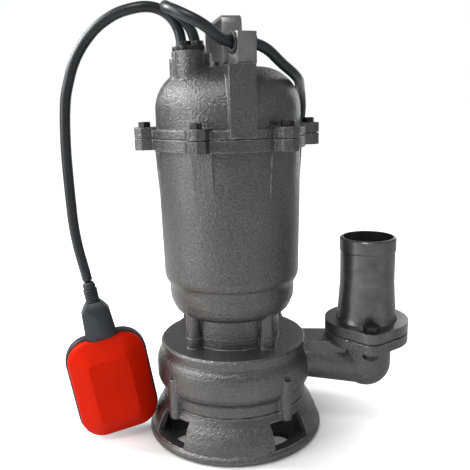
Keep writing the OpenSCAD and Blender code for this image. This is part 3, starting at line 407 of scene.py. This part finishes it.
def machined_iron(name, tone):
    """Iron turned in a lathe and painted thinly: fine rings along its height."""
    f = Finish(name)
    rings = f.noise(2.2, 2, 0.6, f.stretched(0.06, 0.06, 1))
    stains = f.noise(14, 3, 0.6, seed=2.0)
    sand = f.noise(1.3, 2, 0.6, seed=4.0)
    eased = f.rounded(0.8)
    colour = f.mix(f.between(stains, 0.3, 0.7), grey(tone * 0.75), grey(tone * 1.25))
    # Painted highlight: the eased edges turn paler.
    colour = f.mix(f.edges(eased, 0.02, 0.3) * 0.5, colour, grey(tone * 2))
    normal = f.bump(rings * 0.5 + sand * 0.5, 0.3, 0.9, eased)
    return f.surface(Base_Color=colour, Roughness=f.between(stains, 0.3, 0.7, 0.26, 0.36),
                     Normal=normal, Metallic=0.85)


def plated(name, tone, rough, metal=0.9, scratch=0.05, warm=0.0):
    """Plated or bare steel with faint drawn lines and a mottled sheen."""
    f = Finish(name)
    drawn = f.noise(1.0, 2, 0.6, f.stretched(1, 1, 0.08))
    mottle = f.noise(7, 3, 0.6, seed=6.0)
    eased = f.rounded(0.4)
    colour = f.mix(f.between(mottle, 0.3, 0.7), grey(tone * 0.86, warm), grey(tone * 1.08, warm))
    normal = f.bump(drawn, scratch, 0.6, eased)
    return f.surface(Base_Color=colour, Normal=normal, Metallic=metal,
                     Roughness=f.between(mottle, 0.3, 0.7, rough * 0.85, rough * 1.2))


def blackened(name, tone=0.035):
    """Black oxide steel with brighter corners: bare-steel wear and a painted highlight."""
    f = Finish(name)
    mottle = f.noise(2.4, 3, 0.6)
    eased = f.rounded(0.35)
    rub_and_glint = f.edges(eased, 0.01, 0.2) * f.between(f.noise(2, 2, 0.6, seed=2.0), 0.3, 0.6)
    colour = f.mix(mottle, grey(tone * 0.7), grey(tone * 1.5))
    # Painted highlight, partly wear: the eased corners turn pale grey.
    colour = f.mix(rub_and_glint * 0.7, colour, grey(0.22))
    return f.surface(Base_Color=colour, Roughness=f.between(mottle, 0.2, 0.8, 0.3, 0.46),
                     Normal=f.bump(mottle, 0.06, 0.7, eased), Metallic=0.75)


def moulded(name, colour, rough, grain, depth, fade=0.12, coat=0.0, shine=0.5):
    """Moulded rubber or plastic: a fine grain, and a colour that varies a little."""
    f = Finish(name)
    fine = f.noise(grain, 3, 0.6)
    broad = f.noise(22, 2, 0.5, seed=8.0)
    dull = tuple(c * (1 - fade) for c in colour) + (1,)
    fresh = tuple(min(c * (1 + fade), 1) for c in colour) + (1,)
    tint = f.mix(f.between(broad, 0.3, 0.7), dull, fresh)
    return f.surface(Base_Color=tint, Normal=f.bump(fine, depth, 0.7, f.rounded(0.5)),
                     Roughness=f.between(fine, 0.25, 0.75, rough - 0.05, rough + 0.07),
                     Coat_Weight=coat, Coat_Roughness=0.25, Specular_IOR_Level=shine)


def stacked_sheets(name):
    """Electrical steel punched in thin sheets: their edges show as fine level lines."""
    f = Finish(name)
    lines = f.node("ShaderNodeTexWave", {"bands_direction": "Z"},
                   {"Vector": f.place, "Scale": 320.0, "Distortion": 0.0})
    blue = f.noise(12, 2, 0.5)
    colour = f.mix(blue, (0.12, 0.13, 0.15, 1), (0.2, 0.2, 0.21, 1))
    return f.surface(Base_Color=f.mix(lines * 0.4, colour, grey(0.05)), Roughness=0.42,
                     Metallic=0.8, Normal=f.bump(lines, 0.12, 0.6))


def wound_wire(name):
    """Lacquered copper wire that runs round the bore in layers."""
    f = Finish(name)
    parts_of = f.node("ShaderNodeSeparateXYZ", {}, {"Vector": f.place}, "X")
    node = parts_of.socket.node
    x, y, z = (Signal(f, node.outputs[i]) for i in range(3))
    reach = (x * x + y * y) ** 0.5
    across = (reach + z * 0.6) * (2 * math.pi / (1.1 * MM))
    wires = across.math("SINE", across) * 0.5 + 0.5
    lay = f.noise(6, 2, 0.5, seed=1.0)
    colour = f.mix(f.between(lay, 0.3, 0.7), (0.42, 0.13, 0.045, 1), (0.62, 0.22, 0.08, 1))
    # Painted shade: darker in the grooves between the turns of wire.
    colour = f.mix(wires * 0.5, (0.16, 0.05, 0.02, 1), colour)
    return f.surface(Base_Color=colour, Roughness=0.3, Metallic=0.75, Coat_Weight=0.4,
                     Normal=f.bump(wires, 0.4, 0.9))


def make_finishes():
    return {
        "iron": cast_iron("sand_cast_iron", 0.15, 1.1),
        "smooth_iron": machined_iron("turned_iron", 0.145),
        "black_steel": blackened("black_oxide_steel"),
        "bare_steel": plated("ground_steel", 0.5, 0.26, 1.0, 0.03),
        "zinc": plated("zinc_plate", 0.24, 0.4, 0.8, 0.05),
        "lamination": stacked_sheets("stacked_sheets"),
        "cage_alloy": plated("cast_alloy", 0.55, 0.48, 0.9, 0.1),
        "copper": wound_wire("wound_wire"),
        "ceramic_seat": moulded("ceramic", (0.72, 0.69, 0.62), 0.25, 2.0, 0.01),
        "rubber": moulded("moulded_rubber", (0.022, 0.023, 0.024), 0.5, 1.2, 0.04),
        "cable_rubber": moulded("cable_sheath", (0.014, 0.016, 0.018), 0.36, 1.6, 0.05),
        "float_red": moulded("red_shell", (0.61, 0.012, 0.0), 0.5, 0.8, 0.02, fade=0.05, shine=0.06),
        "float_dark": moulded("dark_shell", (0.02, 0.026, 0.031), 0.42, 0.9, 0.05),
        "inner_plastic": moulded("inner_plastic", (0.55, 0.52, 0.45), 0.4, 1.4, 0.03),
        "can": plated("drawn_can", 0.6, 0.34, 0.9, 0.04),
        "plug_rubber": moulded("plug_rubber", (0.02, 0.021, 0.022), 0.46, 1.3, 0.06),
    }


def slot_of(name):
    return parts[name]["material_slot"]


def stand_in(piece, *replaced):
    """Puts a piece in the place of CAD nodes, with their finish and on their body."""
    slot = slot_of(replaced[0])
    piece.data.materials.clear()
    piece.data.materials.append(finishes[slot])
    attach(piece, nodes[replaced[0]]["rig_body"])
    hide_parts(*replaced)
    return piece


# ---- cords ----------------------------------------------------------------

def make_plug():
    """The moulded plug: a ribbed sleeve, a shoulder and a round body."""
    profile = [(4.7, 0), (5.3, 0.3)]
    for k in range(8):
        z = 1.2 + 3 * k
        r = 5.6 + 0.24 * k
        profile += [(r, z), (r, z + 1.6), (r - 0.8, z + 1.9), (r - 0.8, z + 2.8)]
    profile += [(7.5, 25), (10.4, 25.1), (11.3, 25.8), (17.3, 38.2), (18, 39.6), (18, 57.4),
                (17.4, 58.6), (16.2, 59), (7, 59)]
    place = (Matrix.Translation((COIL_AT[0] * MM, COIL_AT[1] * MM, 0))
             @ Matrix.Rotation(math.radians(COIL_TURN), 4, "Z")
             @ Matrix.Translation(Vector(PLUG_AT) * MM) @ Matrix.Rotation(math.radians(-90), 4, "Y"))
    return stand_in(crisp(turned("moulded_plug", profile, 48, place)), "plug_body")


def make_cords():
    """The mains lead as one cord from the gland to its plug, and the cable to the float."""
    main_path = smooth_path(whole_mains_route(), 4)
    thin = main_path[::2] if len(main_path) % 2 else main_path[::2] + [main_path[-1]]
    verts, faces = skin(tube_rings(thin, CORD_RADIUS * MM, 16))
    lead = stand_in(new_piece("mains_lead", verts, faces), "power_cord", "cord_coil", "cord_tail")
    path_length(thin)
    make_plug()
    path = smooth_path(FLOAT_CABLE_ROUTE, 6)
    verts, faces = skin(tube_rings(path, CORD_RADIUS * MM, 20))
    cable = stand_in(new_piece("float_lead", verts, faces), "float_cable")
    path_length(path)


# ---- stage and light ------------------------------------------------------

def lamp(name, place, target, power, width, height):
    """A soft box of a width and height in metres that faces its target."""
    data = bpy.data.lights.new(name, "AREA")
    data.shape = "RECTANGLE"
    data.size = width
    data.size_y = height
    data.energy = power
    light = bpy.data.objects.new(name, data)
    bpy.context.scene.collection.objects.link(light)
    light.location = place
    light.rotation_mode = "QUATERNION"
    light.rotation_quaternion = (Vector(target) - Vector(place)).to_track_quat("-Z", "Y")


def seen_ray(tree):
    """1 for rays that show the background: straight to the eye or through glass."""
    path = tree.nodes.new("ShaderNodeLightPath")
    total = tree.nodes.new("ShaderNodeMath")
    total.operation = "MAXIMUM"
    tree.links.new(path.outputs["Is Camera Ray"], total.inputs[0])
    tree.links.new(path.outputs["Is Transmission Ray"], total.inputs[1])
    return total.outputs[0]


def make_stage():
    """A pale floor that keeps the shadow near the pump, white surroundings and five soft boxes."""
    bpy.ops.mesh.primitive_plane_add(size=40, location=(0, 0, 0))
    floor = bpy.context.object
    floor.name = "floor"
    material = bpy.data.materials.new("floor")
    material.use_nodes = True
    tree = material.node_tree
    shader = tree.nodes["Principled BSDF"]
    shader.inputs["Base Color"].default_value = grey(0.82)
    shader.inputs["Roughness"].default_value = 0.8
    shader.inputs["Emission Color"].default_value = grey(1.0)
    glow = tree.nodes.new("ShaderNodeMath")
    glow.operation = "MULTIPLY"
    place = tree.nodes.new("ShaderNodeTexCoord")
    reach = tree.nodes.new("ShaderNodeVectorMath")
    reach.operation = "LENGTH"
    tree.links.new(place.outputs["Object"], reach.inputs[0])
    spread = tree.nodes.new("ShaderNodeMapRange")
    spread.inputs["From Min"].default_value = 0.075
    spread.inputs["From Max"].default_value = 0.16
    spread.inputs["To Min"].default_value = 0.1
    spread.inputs["To Max"].default_value = 0.85
    tree.links.new(reach.outputs["Value"], spread.inputs["Value"])
    tree.links.new(spread.outputs[0], glow.inputs[1])
    tree.links.new(seen_ray(tree), glow.inputs[0])
    tree.links.new(glow.outputs[0], shader.inputs["Emission Strength"])
    floor.data.materials.append(material)

    world = bpy.data.worlds.new("studio")
    bpy.context.scene.world = world
    world.use_nodes = True
    tree = world.node_tree
    background = tree.nodes["Background"]
    background.inputs["Color"].default_value = grey(1.0)
    level = tree.nodes.new("ShaderNodeMapRange")
    level.inputs["To Min"].default_value = 0.3
    level.inputs["To Max"].default_value = 1.0
    tree.links.new(seen_ray(tree), level.inputs["Value"])
    tree.links.new(level.outputs[0], background.inputs["Strength"])

    lamp("left_box", (-0.85, -0.45, 0.6), (0, 0, 0.25), 7, 0.5, 0.9)
    lamp("left_edge", (-0.9, 0.12, 0.85), (0, 0, 0.3), 13, 0.25, 0.5)
    lamp("top_box", (-0.1, -0.6, 1.1), (0, 0, 0.2), 3.5, 0.3, 0.25)
    lamp("right_fill", (0.9, -0.6, 0.4), (0, 0, 0.15), 0.6, 0.5, 0.9)
    lamp("right_rim", (0.45, 0.9, 0.5), (0, 0, 0.2), 1.5, 0.2, 0.9)
    bpy.context.scene.view_settings.view_transform = "Standard"


# ---- fasteners ------------------------------------------------------------

HEAD_SHARE = 0.97  # of a hexagon's half width, where the cone on its corners starts
CONE = math.radians(30)
SHARPEST = 28  # degrees; steeper edges stay sharp in the shading of fasteners


def corner_reach(a, flats):
    """Distance in mm from the middle of a hexagon to its side, at the angle a."""
    return flats / 2 / math.cos((a + math.pi / 6) % (math.pi / 3) - math.pi / 6)


def hex_ring(flats, z, steps, chamfer=False, side=1):
    """A ring on a hexagon. A chamfer takes its corners back by a cone: down, or up for side -1."""
    ring = []
    for k in range(steps):
        a = 2 * math.pi * k / steps
        r = corner_reach(a, flats)
        back = max(0.0, r - flats / 2 * HEAD_SHARE) * math.tan(CONE) if chamfer else 0
        ring.append(Vector((r * math.cos(a), r * math.sin(a), z - side * back)) * MM)
    return ring


def round_ring(r, z, steps):
    """A level ring; sizes in mm."""
    return [Vector((r * math.cos(a), r * math.sin(a), z)) * MM
            for a in (2 * math.pi * k / steps for k in range(steps))]


def threaded_shank(radius, top, bottom, steps, pitch=1.0):
    """Rings down a shank with a plain neck and a screw thread."""
    rings = [round_ring(radius, top, steps)]
    z = top - min(4, (top - bottom) * 0.3)
    rings.append(round_ring(radius, z, steps))
    while z - pitch > bottom + 1:
        rings.append(round_ring(radius - 0.45, z - pitch / 2, steps))
        rings.append(round_ring(radius - 0.02, z - pitch, steps))
        z -= pitch
    rings.append(round_ring(radius - 0.05, bottom + 0.6, steps))
    rings.append(round_ring(radius - 0.6, bottom, steps))
    return rings


def hex_head_screw(name, radius, flats, head, below, washer=0.0, steps=48):
    """A hexagon screw: dished top, chamfered corners, an optional washer under the head."""
    rings = [round_ring(flats * 0.22, head - 0.25, steps), round_ring(flats * 0.36, head - 0.2, steps),
             round_ring(flats * 0.4, head, steps), round_ring(flats / 2 * HEAD_SHARE, head, steps),
             hex_ring(flats, head, steps, True, 1), hex_ring(flats, 0.25, steps),
             round_ring(flats / 2 * 0.96, 0.2, steps), round_ring(flats / 2 * 0.96, 0, steps)]
    if washer:
        rings += [round_ring(washer - 0.2, 0.0, steps), round_ring(washer, -0.15, steps)]
    rings += threaded_shank(radius, -0.16, -below, steps)
    verts, faces = skin(rings)
    piece = new_piece(name, verts, faces)
    weld(piece)
    return crisp(piece, SHARPEST)


def socket_screw(name, radius, head_r, head, below, key, deep, steps=48):
    """A cap screw with a hexagon socket."""
    rings = [hex_ring(key, head - deep, steps), hex_ring(key, head - 0.2, steps),
             round_ring(key * 0.6, head, steps), round_ring(head_r - 0.5, head, steps),
             round_ring(head_r - 0.15, head - 0.15, steps), round_ring(head_r, head - 0.5, steps),
             round_ring(head_r, 0.3, steps), round_ring(head_r - 0.3, 0, steps)]
    rings += threaded_shank(radius, -0.01, -below, steps)
    verts, faces = skin(rings)
    piece = new_piece(name, verts, faces)
    weld(piece)
    return crisp(piece, SHARPEST)


FULL_TURN = 6.28


def place_tree():
    """Geometry nodes that put a piece at each point, turned about its own axis."""
    tree = bpy.data.node_groups.new("pieces_at_points", "GeometryNodeTree")
    face = tree.interface
    face.new_socket("Geometry", in_out="INPUT", socket_type="NodeSocketGeometry")
    for name, kind in (("Piece", "NodeSocketObject"), ("Material", "NodeSocketMaterial"),
                       ("Turn", "NodeSocketFloat"), ("Seed", "NodeSocketInt")):
        face.new_socket(name, in_out="INPUT", socket_type=kind)
    face.new_socket("Geometry", in_out="OUTPUT", socket_type="NodeSocketGeometry")

    def add(kind, **settings):
        made = tree.nodes.new(kind)
        for key, value in settings.items():
            setattr(made, key, value)
        return made

    start, end = add("NodeGroupInput"), add("NodeGroupOutput")
    points = add("GeometryNodeMeshToPoints")
    info = add("GeometryNodeObjectInfo", transform_space="ORIGINAL")
    spin = add("FunctionNodeRandomValue", data_type="FLOAT")
    lean = add("GeometryNodeInputNamedAttribute", data_type="FLOAT_VECTOR")
    lean.inputs["Name"].default_value = "lean"
    tilt = add("FunctionNodeEulerToRotation")
    turn = add("ShaderNodeCombineXYZ")
    about = add("FunctionNodeEulerToRotation")
    both = add("FunctionNodeRotateRotation", rotation_space="LOCAL")
    put = add("GeometryNodeInstanceOnPoints")
    real = add("GeometryNodeRealizeInstances")
    paint = add("GeometryNodeSetMaterial")
    link = tree.links.new
    link(start.outputs["Geometry"], points.inputs[0])
    link(points.outputs[0], put.inputs["Points"])
    link(start.outputs["Piece"], info.inputs["Object"])
    link(info.outputs["Geometry"], put.inputs["Instance"])
    link(start.outputs["Turn"], spin.inputs[3])
    link(start.outputs["Seed"], spin.inputs["Seed"])
    link(spin.outputs[1], turn.inputs[2])
    link(turn.outputs[0], about.inputs[0])
    link(lean.outputs[0], tilt.inputs[0])
    link(tilt.outputs[0], both.inputs["Rotation"])
    link(about.outputs[0], both.inputs["Rotate By"])
    link(both.outputs[0], put.inputs["Rotation"])
    link(put.outputs[0], real.inputs[0])
    link(real.outputs[0], paint.inputs["Geometry"])
    link(start.outputs["Material"], paint.inputs["Material"])
    link(paint.outputs[0], end.inputs[0])
    return tree


def put_at(name, piece, places, replaced, seed, leans=None, turn=FULL_TURN):
    """A plain mesh with one copy of the piece at each place, in mm, each turned by chance."""
    holder = new_piece(name + "_points", [Vector(p) * MM for p in places], [], False)
    attribute = holder.data.attributes.new("lean", "FLOAT_VECTOR", "POINT")
    for i, value in enumerate(leans or [(0, 0, 0)] * len(places)):
        attribute.data[i].vector = value
    modifier = holder.modifiers.new("places", "NODES")
    modifier.node_group = placing
    for item in placing.interface.items_tree:
        if item.in_out == "INPUT" and item.name != "Geometry":
            modifier[item.identifier] = {"Piece": piece, "Material": finishes[slot_of(replaced)],
                                         "Turn": turn, "Seed": seed}[item.name]
    holder.update_tag()
    bpy.context.view_layer.update()
    graph = bpy.context.evaluated_depsgraph_get()
    mesh = bpy.data.meshes.new_from_object(holder.evaluated_get(graph))
    mesh.name = name
    made = bpy.data.objects.new(name, mesh)
    bpy.context.scene.collection.objects.link(made)
    bpy.data.objects.remove(holder)
    bpy.data.objects.remove(piece)
    return stand_in(made, replaced)


def around(radius, angles, z):
    """Places on a circle; angles start at the front and turn towards the discharge."""
    turns = [math.radians(a) for a in angles]
    return [(radius * math.sin(a), -radius * math.cos(a), z) for a in turns]


def hex_nut(name, radius, flats, height, steps=48):
    """A hexagon nut, chamfered on both faces."""
    rings = [round_ring(radius + 0.5, 0, steps), round_ring(flats / 2 * HEAD_SHARE, 0, steps),
             hex_ring(flats, 0, steps, True, -1), hex_ring(flats, height, steps, True, 1),
             round_ring(flats / 2 * HEAD_SHARE, height, steps), round_ring(radius + 0.5, height, steps),
             round_ring(radius, height - 0.5, steps), round_ring(radius, 0.5, steps)]
    verts, faces = skin(rings + rings[:1], False)
    piece = new_piece(name, verts, faces)
    weld(piece)
    return crisp(piece, SHARPEST)


def make_fasteners():
    """Every screw, bolt and nut; those with a lean hang head down or lie level."""
    lugs = [45 + 60 * k for k in range(6)]
    corners = [45 + 90 * k for k in range(4)]
    over = [(math.pi, 0, 0)] * 4
    put_at("cover_screws", hex_head_screw("screw", 3, 10, 4.5, 18.1, 5.6),
           around(74.5, lugs, 290.7), "cover_bolts", 4)
    put_at("gland_plate_screws", hex_head_screw("screw", 2.5, 8, 3.5, 14),
           [(-31, -36, 356.9), (-20, -35, 356.9)], "gland_screws", 2)
    seat = math.radians(15)
    aside = -3
    spots = [(aside * math.cos(seat) + u * math.sin(seat),
              aside * math.sin(seat) - u * math.cos(seat), 343.1) for u in (32, -39)]
    put_at("handle_cap_screws", socket_screw("screw", 3, 5, 4, 13, 5, 2.5), spots, "handle_screws", 3)
    put_at("base_cap_screws", socket_screw("screw", 2.5, 4.25, 5, 15, 4, 2.5),
           around(68, corners, 34.5), "base_bolts", 5, over)
    put_at("neck_cap_screws", socket_screw("screw", 3, 5, 6, 40, 5, 3),
           around(47, corners, 76), "neck_screws", 6, over)
    flange = [(126, -36, 109.5), (126, 36, 109.5)]
    put_at("flange_screws", hex_head_screw("screw", 4, 13, 5.5, 28, 7.2), flange,
           "discharge_bolts", 7)
    put_at("flange_nuts", hex_nut("nut", 4.05, 13, 6.5), [(x, y, 83.5) for x, y, z in flange],
           "discharge_nuts", 8)
    put_at("oil_filler_screw", hex_head_screw("screw", 5, 14, 6, 17),
           [(0, 58, 128)], "oil_plug", 9, [(-math.pi / 2, 0, 0)], 0.2)


# ---- rubber pieces --------------------------------------------------------

def make_sleeves():
    """A tapered sleeve round each cord in its gland."""
    profile = [(5.1, 0), (5.55, 0.6), (5.55, 19.2), (5.4, 20), (5.2, 20.8), (5.0, 21),
               (4.9, 20.7), (4.9, 0.2)]
    sleeves = [turned("sleeve", profile, 40, Matrix.Translation((x * MM, y * MM, 0.3369)), True)
               for x, y in ((-36, -23), (-24, -22))]
    stand_in(crisp(join("cord_sleeves", sleeves)), "gland_sleeves")


def make_grommets():
    """A lipped rubber ring in each cheek of the cable guide; the wide lip is outside."""
    profile = [(6.9, -2.5), (7.3, -2.1), (7.3, -1.4), (7.0, -1.0), (6.45, -1.0), (6.45, 1.0),
               (8.3, 1.0), (8.8, 1.4), (8.8, 2.0), (8.3, 2.5), (5.7, 2.5), (5.2, 2.1), (5.1, 1.5),
               (5.1, -1.5), (5.2, -2.1), (5.7, -2.5)]
    guide = Matrix.Translation((0.0216, -0.062, 0.3401)) @ Matrix.Rotation(math.radians(30), 4, "Z")
    rings = []
    for side in (-1, 1):
        place = (guide @ Matrix.Translation((side * 0.0073, 0.0095, 0.0164))
                 @ Matrix.Rotation(side * math.radians(90), 4, "Y"))
        rings.append(turned("grommet", profile, 48, place, True))
    stand_in(crisp(join("grommets", rings), 50), "guide_grommets")


# ---- float ----------------------------------------------------------------

def rounded_rectangle(w, l, r, count=16):
    """Points anticlockwise round a rectangle with its corners rounded; sizes in mm."""
    ring = []
    for quarter, (sx, sy) in enumerate(((1, 1), (-1, 1), (-1, -1), (1, -1))):
        for k in range(count + 1):
            a = math.pi / 2 * (quarter + k / count)
            ring.append((sx * (w / 2 - r) + r * math.cos(a), sy * (l / 2 - r) + r * math.sin(a)))
    return ring


def shell(name, outer, wall, side):
    """Half of the float: rings of (width, length, corner, depth) from its seam to its flat panel."""
    inner = [(w - 2 * wall, l - 2 * wall, max(r - wall, 2), max(h - wall, outer[0][3]))
             for w, l, r, h in reversed(outer)]
    inner[-1] = inner[-1][:3] + (outer[0][3],)
    place = (Matrix.Translation((-0.113, -0.029, 0.0545)) @ Matrix.Rotation(math.radians(21), 4, "Z")
             @ Matrix.Rotation(math.radians(-9), 4, "Y"))

    def loops(rows):
        return [[place @ (Vector((x, side * h, y)) * MM) for x, y in rounded_rectangle(w, l, r)]
                for w, l, r, h in rows]

    verts, faces = skin(loops(outer), False)
    n = len(rounded_rectangle(1, 1, 0.1))
    rows = len(outer)
    faces.append(tuple(range((rows - 1) * n, rows * n)))
    inside, more = skin(loops(inner), False)
    start = len(verts)
    faces += [tuple(start + i for i in f) for f in more]
    faces.append(tuple(start + i for i in range(n)))
    verts += inside
    last = start + (rows - 1) * n
    faces += [(k, (k + 1) % n, last + (k + 1) % n, last + k) for k in range(n)]
    piece = new_piece(name, verts, faces)
    weld(piece, 1e-6)
    return crisp(piece, 40)


def sloped(first, last, steps):
    """Rows between two rows, without either."""
    return [tuple(a + (b - a) * k / steps for a, b in zip(first, last)) for k in range(1, steps)]


def make_float():
    """The two shells of the float, wide at the seam and pillowed to a flat panel."""
    low, high = (68.6, 92.6, 19.2, 9.4), (38.6, 61.6, 5.8, 20.3)
    front = [(70.6, 94.6, 19.8, 2), (71.4, 95.4, 20.2, 2.6), (71.4, 95.4, 20.2, 6.6),
             (71.1, 95.1, 20.1, 7.6), (70.3, 94.3, 19.8, 8.5), low] + sloped(low, high, 6) + [
                 high, (37.2, 60.2, 5.2, 20.75), (35.6, 58.6, 4.6, 20.97), (34, 57, 4, 21)]
    stand_in(shell("float_shell_front", front, 2.5, -1), "float_front_shell")
    low, high = (72.2, 96.2, 21.8, 9.3), (40.6, 63.6, 5.8, 20.3)
    back = [(73.6, 97.6, 22.3, -2), (74.6, 98.6, 22.7, -1.8), (75, 99, 22.8, -1.2), (75, 99, 22.8, 6.8),
            (74.7, 98.7, 22.7, 7.7), (73.8, 97.8, 22.4, 8.5), low] + sloped(low, high, 6) + [
                high, (39.2, 62.2, 5.2, 20.75), (37.6, 60.6, 4.6, 20.97), (36, 59, 4, 21)]
    stand_in(shell("float_shell_back", back, 3.5, 1), "float_back_shell")


# ---- eased copies of solids -----------------------------------------------

def eased_copy(name, title, width, segments=2, angle=28):
    """A CAD node's shape with its sharp edges rounded to a width in mm."""
    mesh = nodes[name].data.copy()
    mesh.name = title
    piece = bpy.data.objects.new(title, mesh)
    bpy.context.scene.collection.objects.link(piece)
    work = bmesh.new()
    work.from_mesh(mesh)
    bmesh.ops.remove_doubles(work, verts=work.verts, dist=2e-6)
    bmesh.ops.dissolve_limit(work, angle_limit=math.radians(0.5), verts=work.verts, edges=work.edges)
    work.to_mesh(mesh)
    work.free()
    bevel = piece.modifiers.new("ease", "BEVEL")
    bevel.width = width * MM
    bevel.segments = segments
    bevel.limit_method = "ANGLE"
    bevel.angle_limit = math.radians(angle)
    bevel.use_clamp_overlap = True
    bpy.context.view_layer.update()
    graph = bpy.context.evaluated_depsgraph_get()
    done = bpy.data.meshes.new_from_object(piece.evaluated_get(graph))
    piece.modifiers.clear()
    piece.data = done
    return stand_in(crisp(piece, 35), name)


set_camera()
finishes = make_finishes()
placing = place_tree()
make_cords()
make_stage()
make_fasteners()
make_sleeves()
make_grommets()
make_float()
eased_copy("handle", "carry_handle", 0.8)
eased_copy("cable_guide", "lead_guide", 0.35)
eased_copy("float_boot", "float_neck", 0.7)
eased_copy("gland_plate", "gland_clamp", 0.6)

for name, node in nodes.items():
    if not node.hide_render:
        node.data.materials.clear()
        node.data.materials.append(finishes[slot_of(name)])
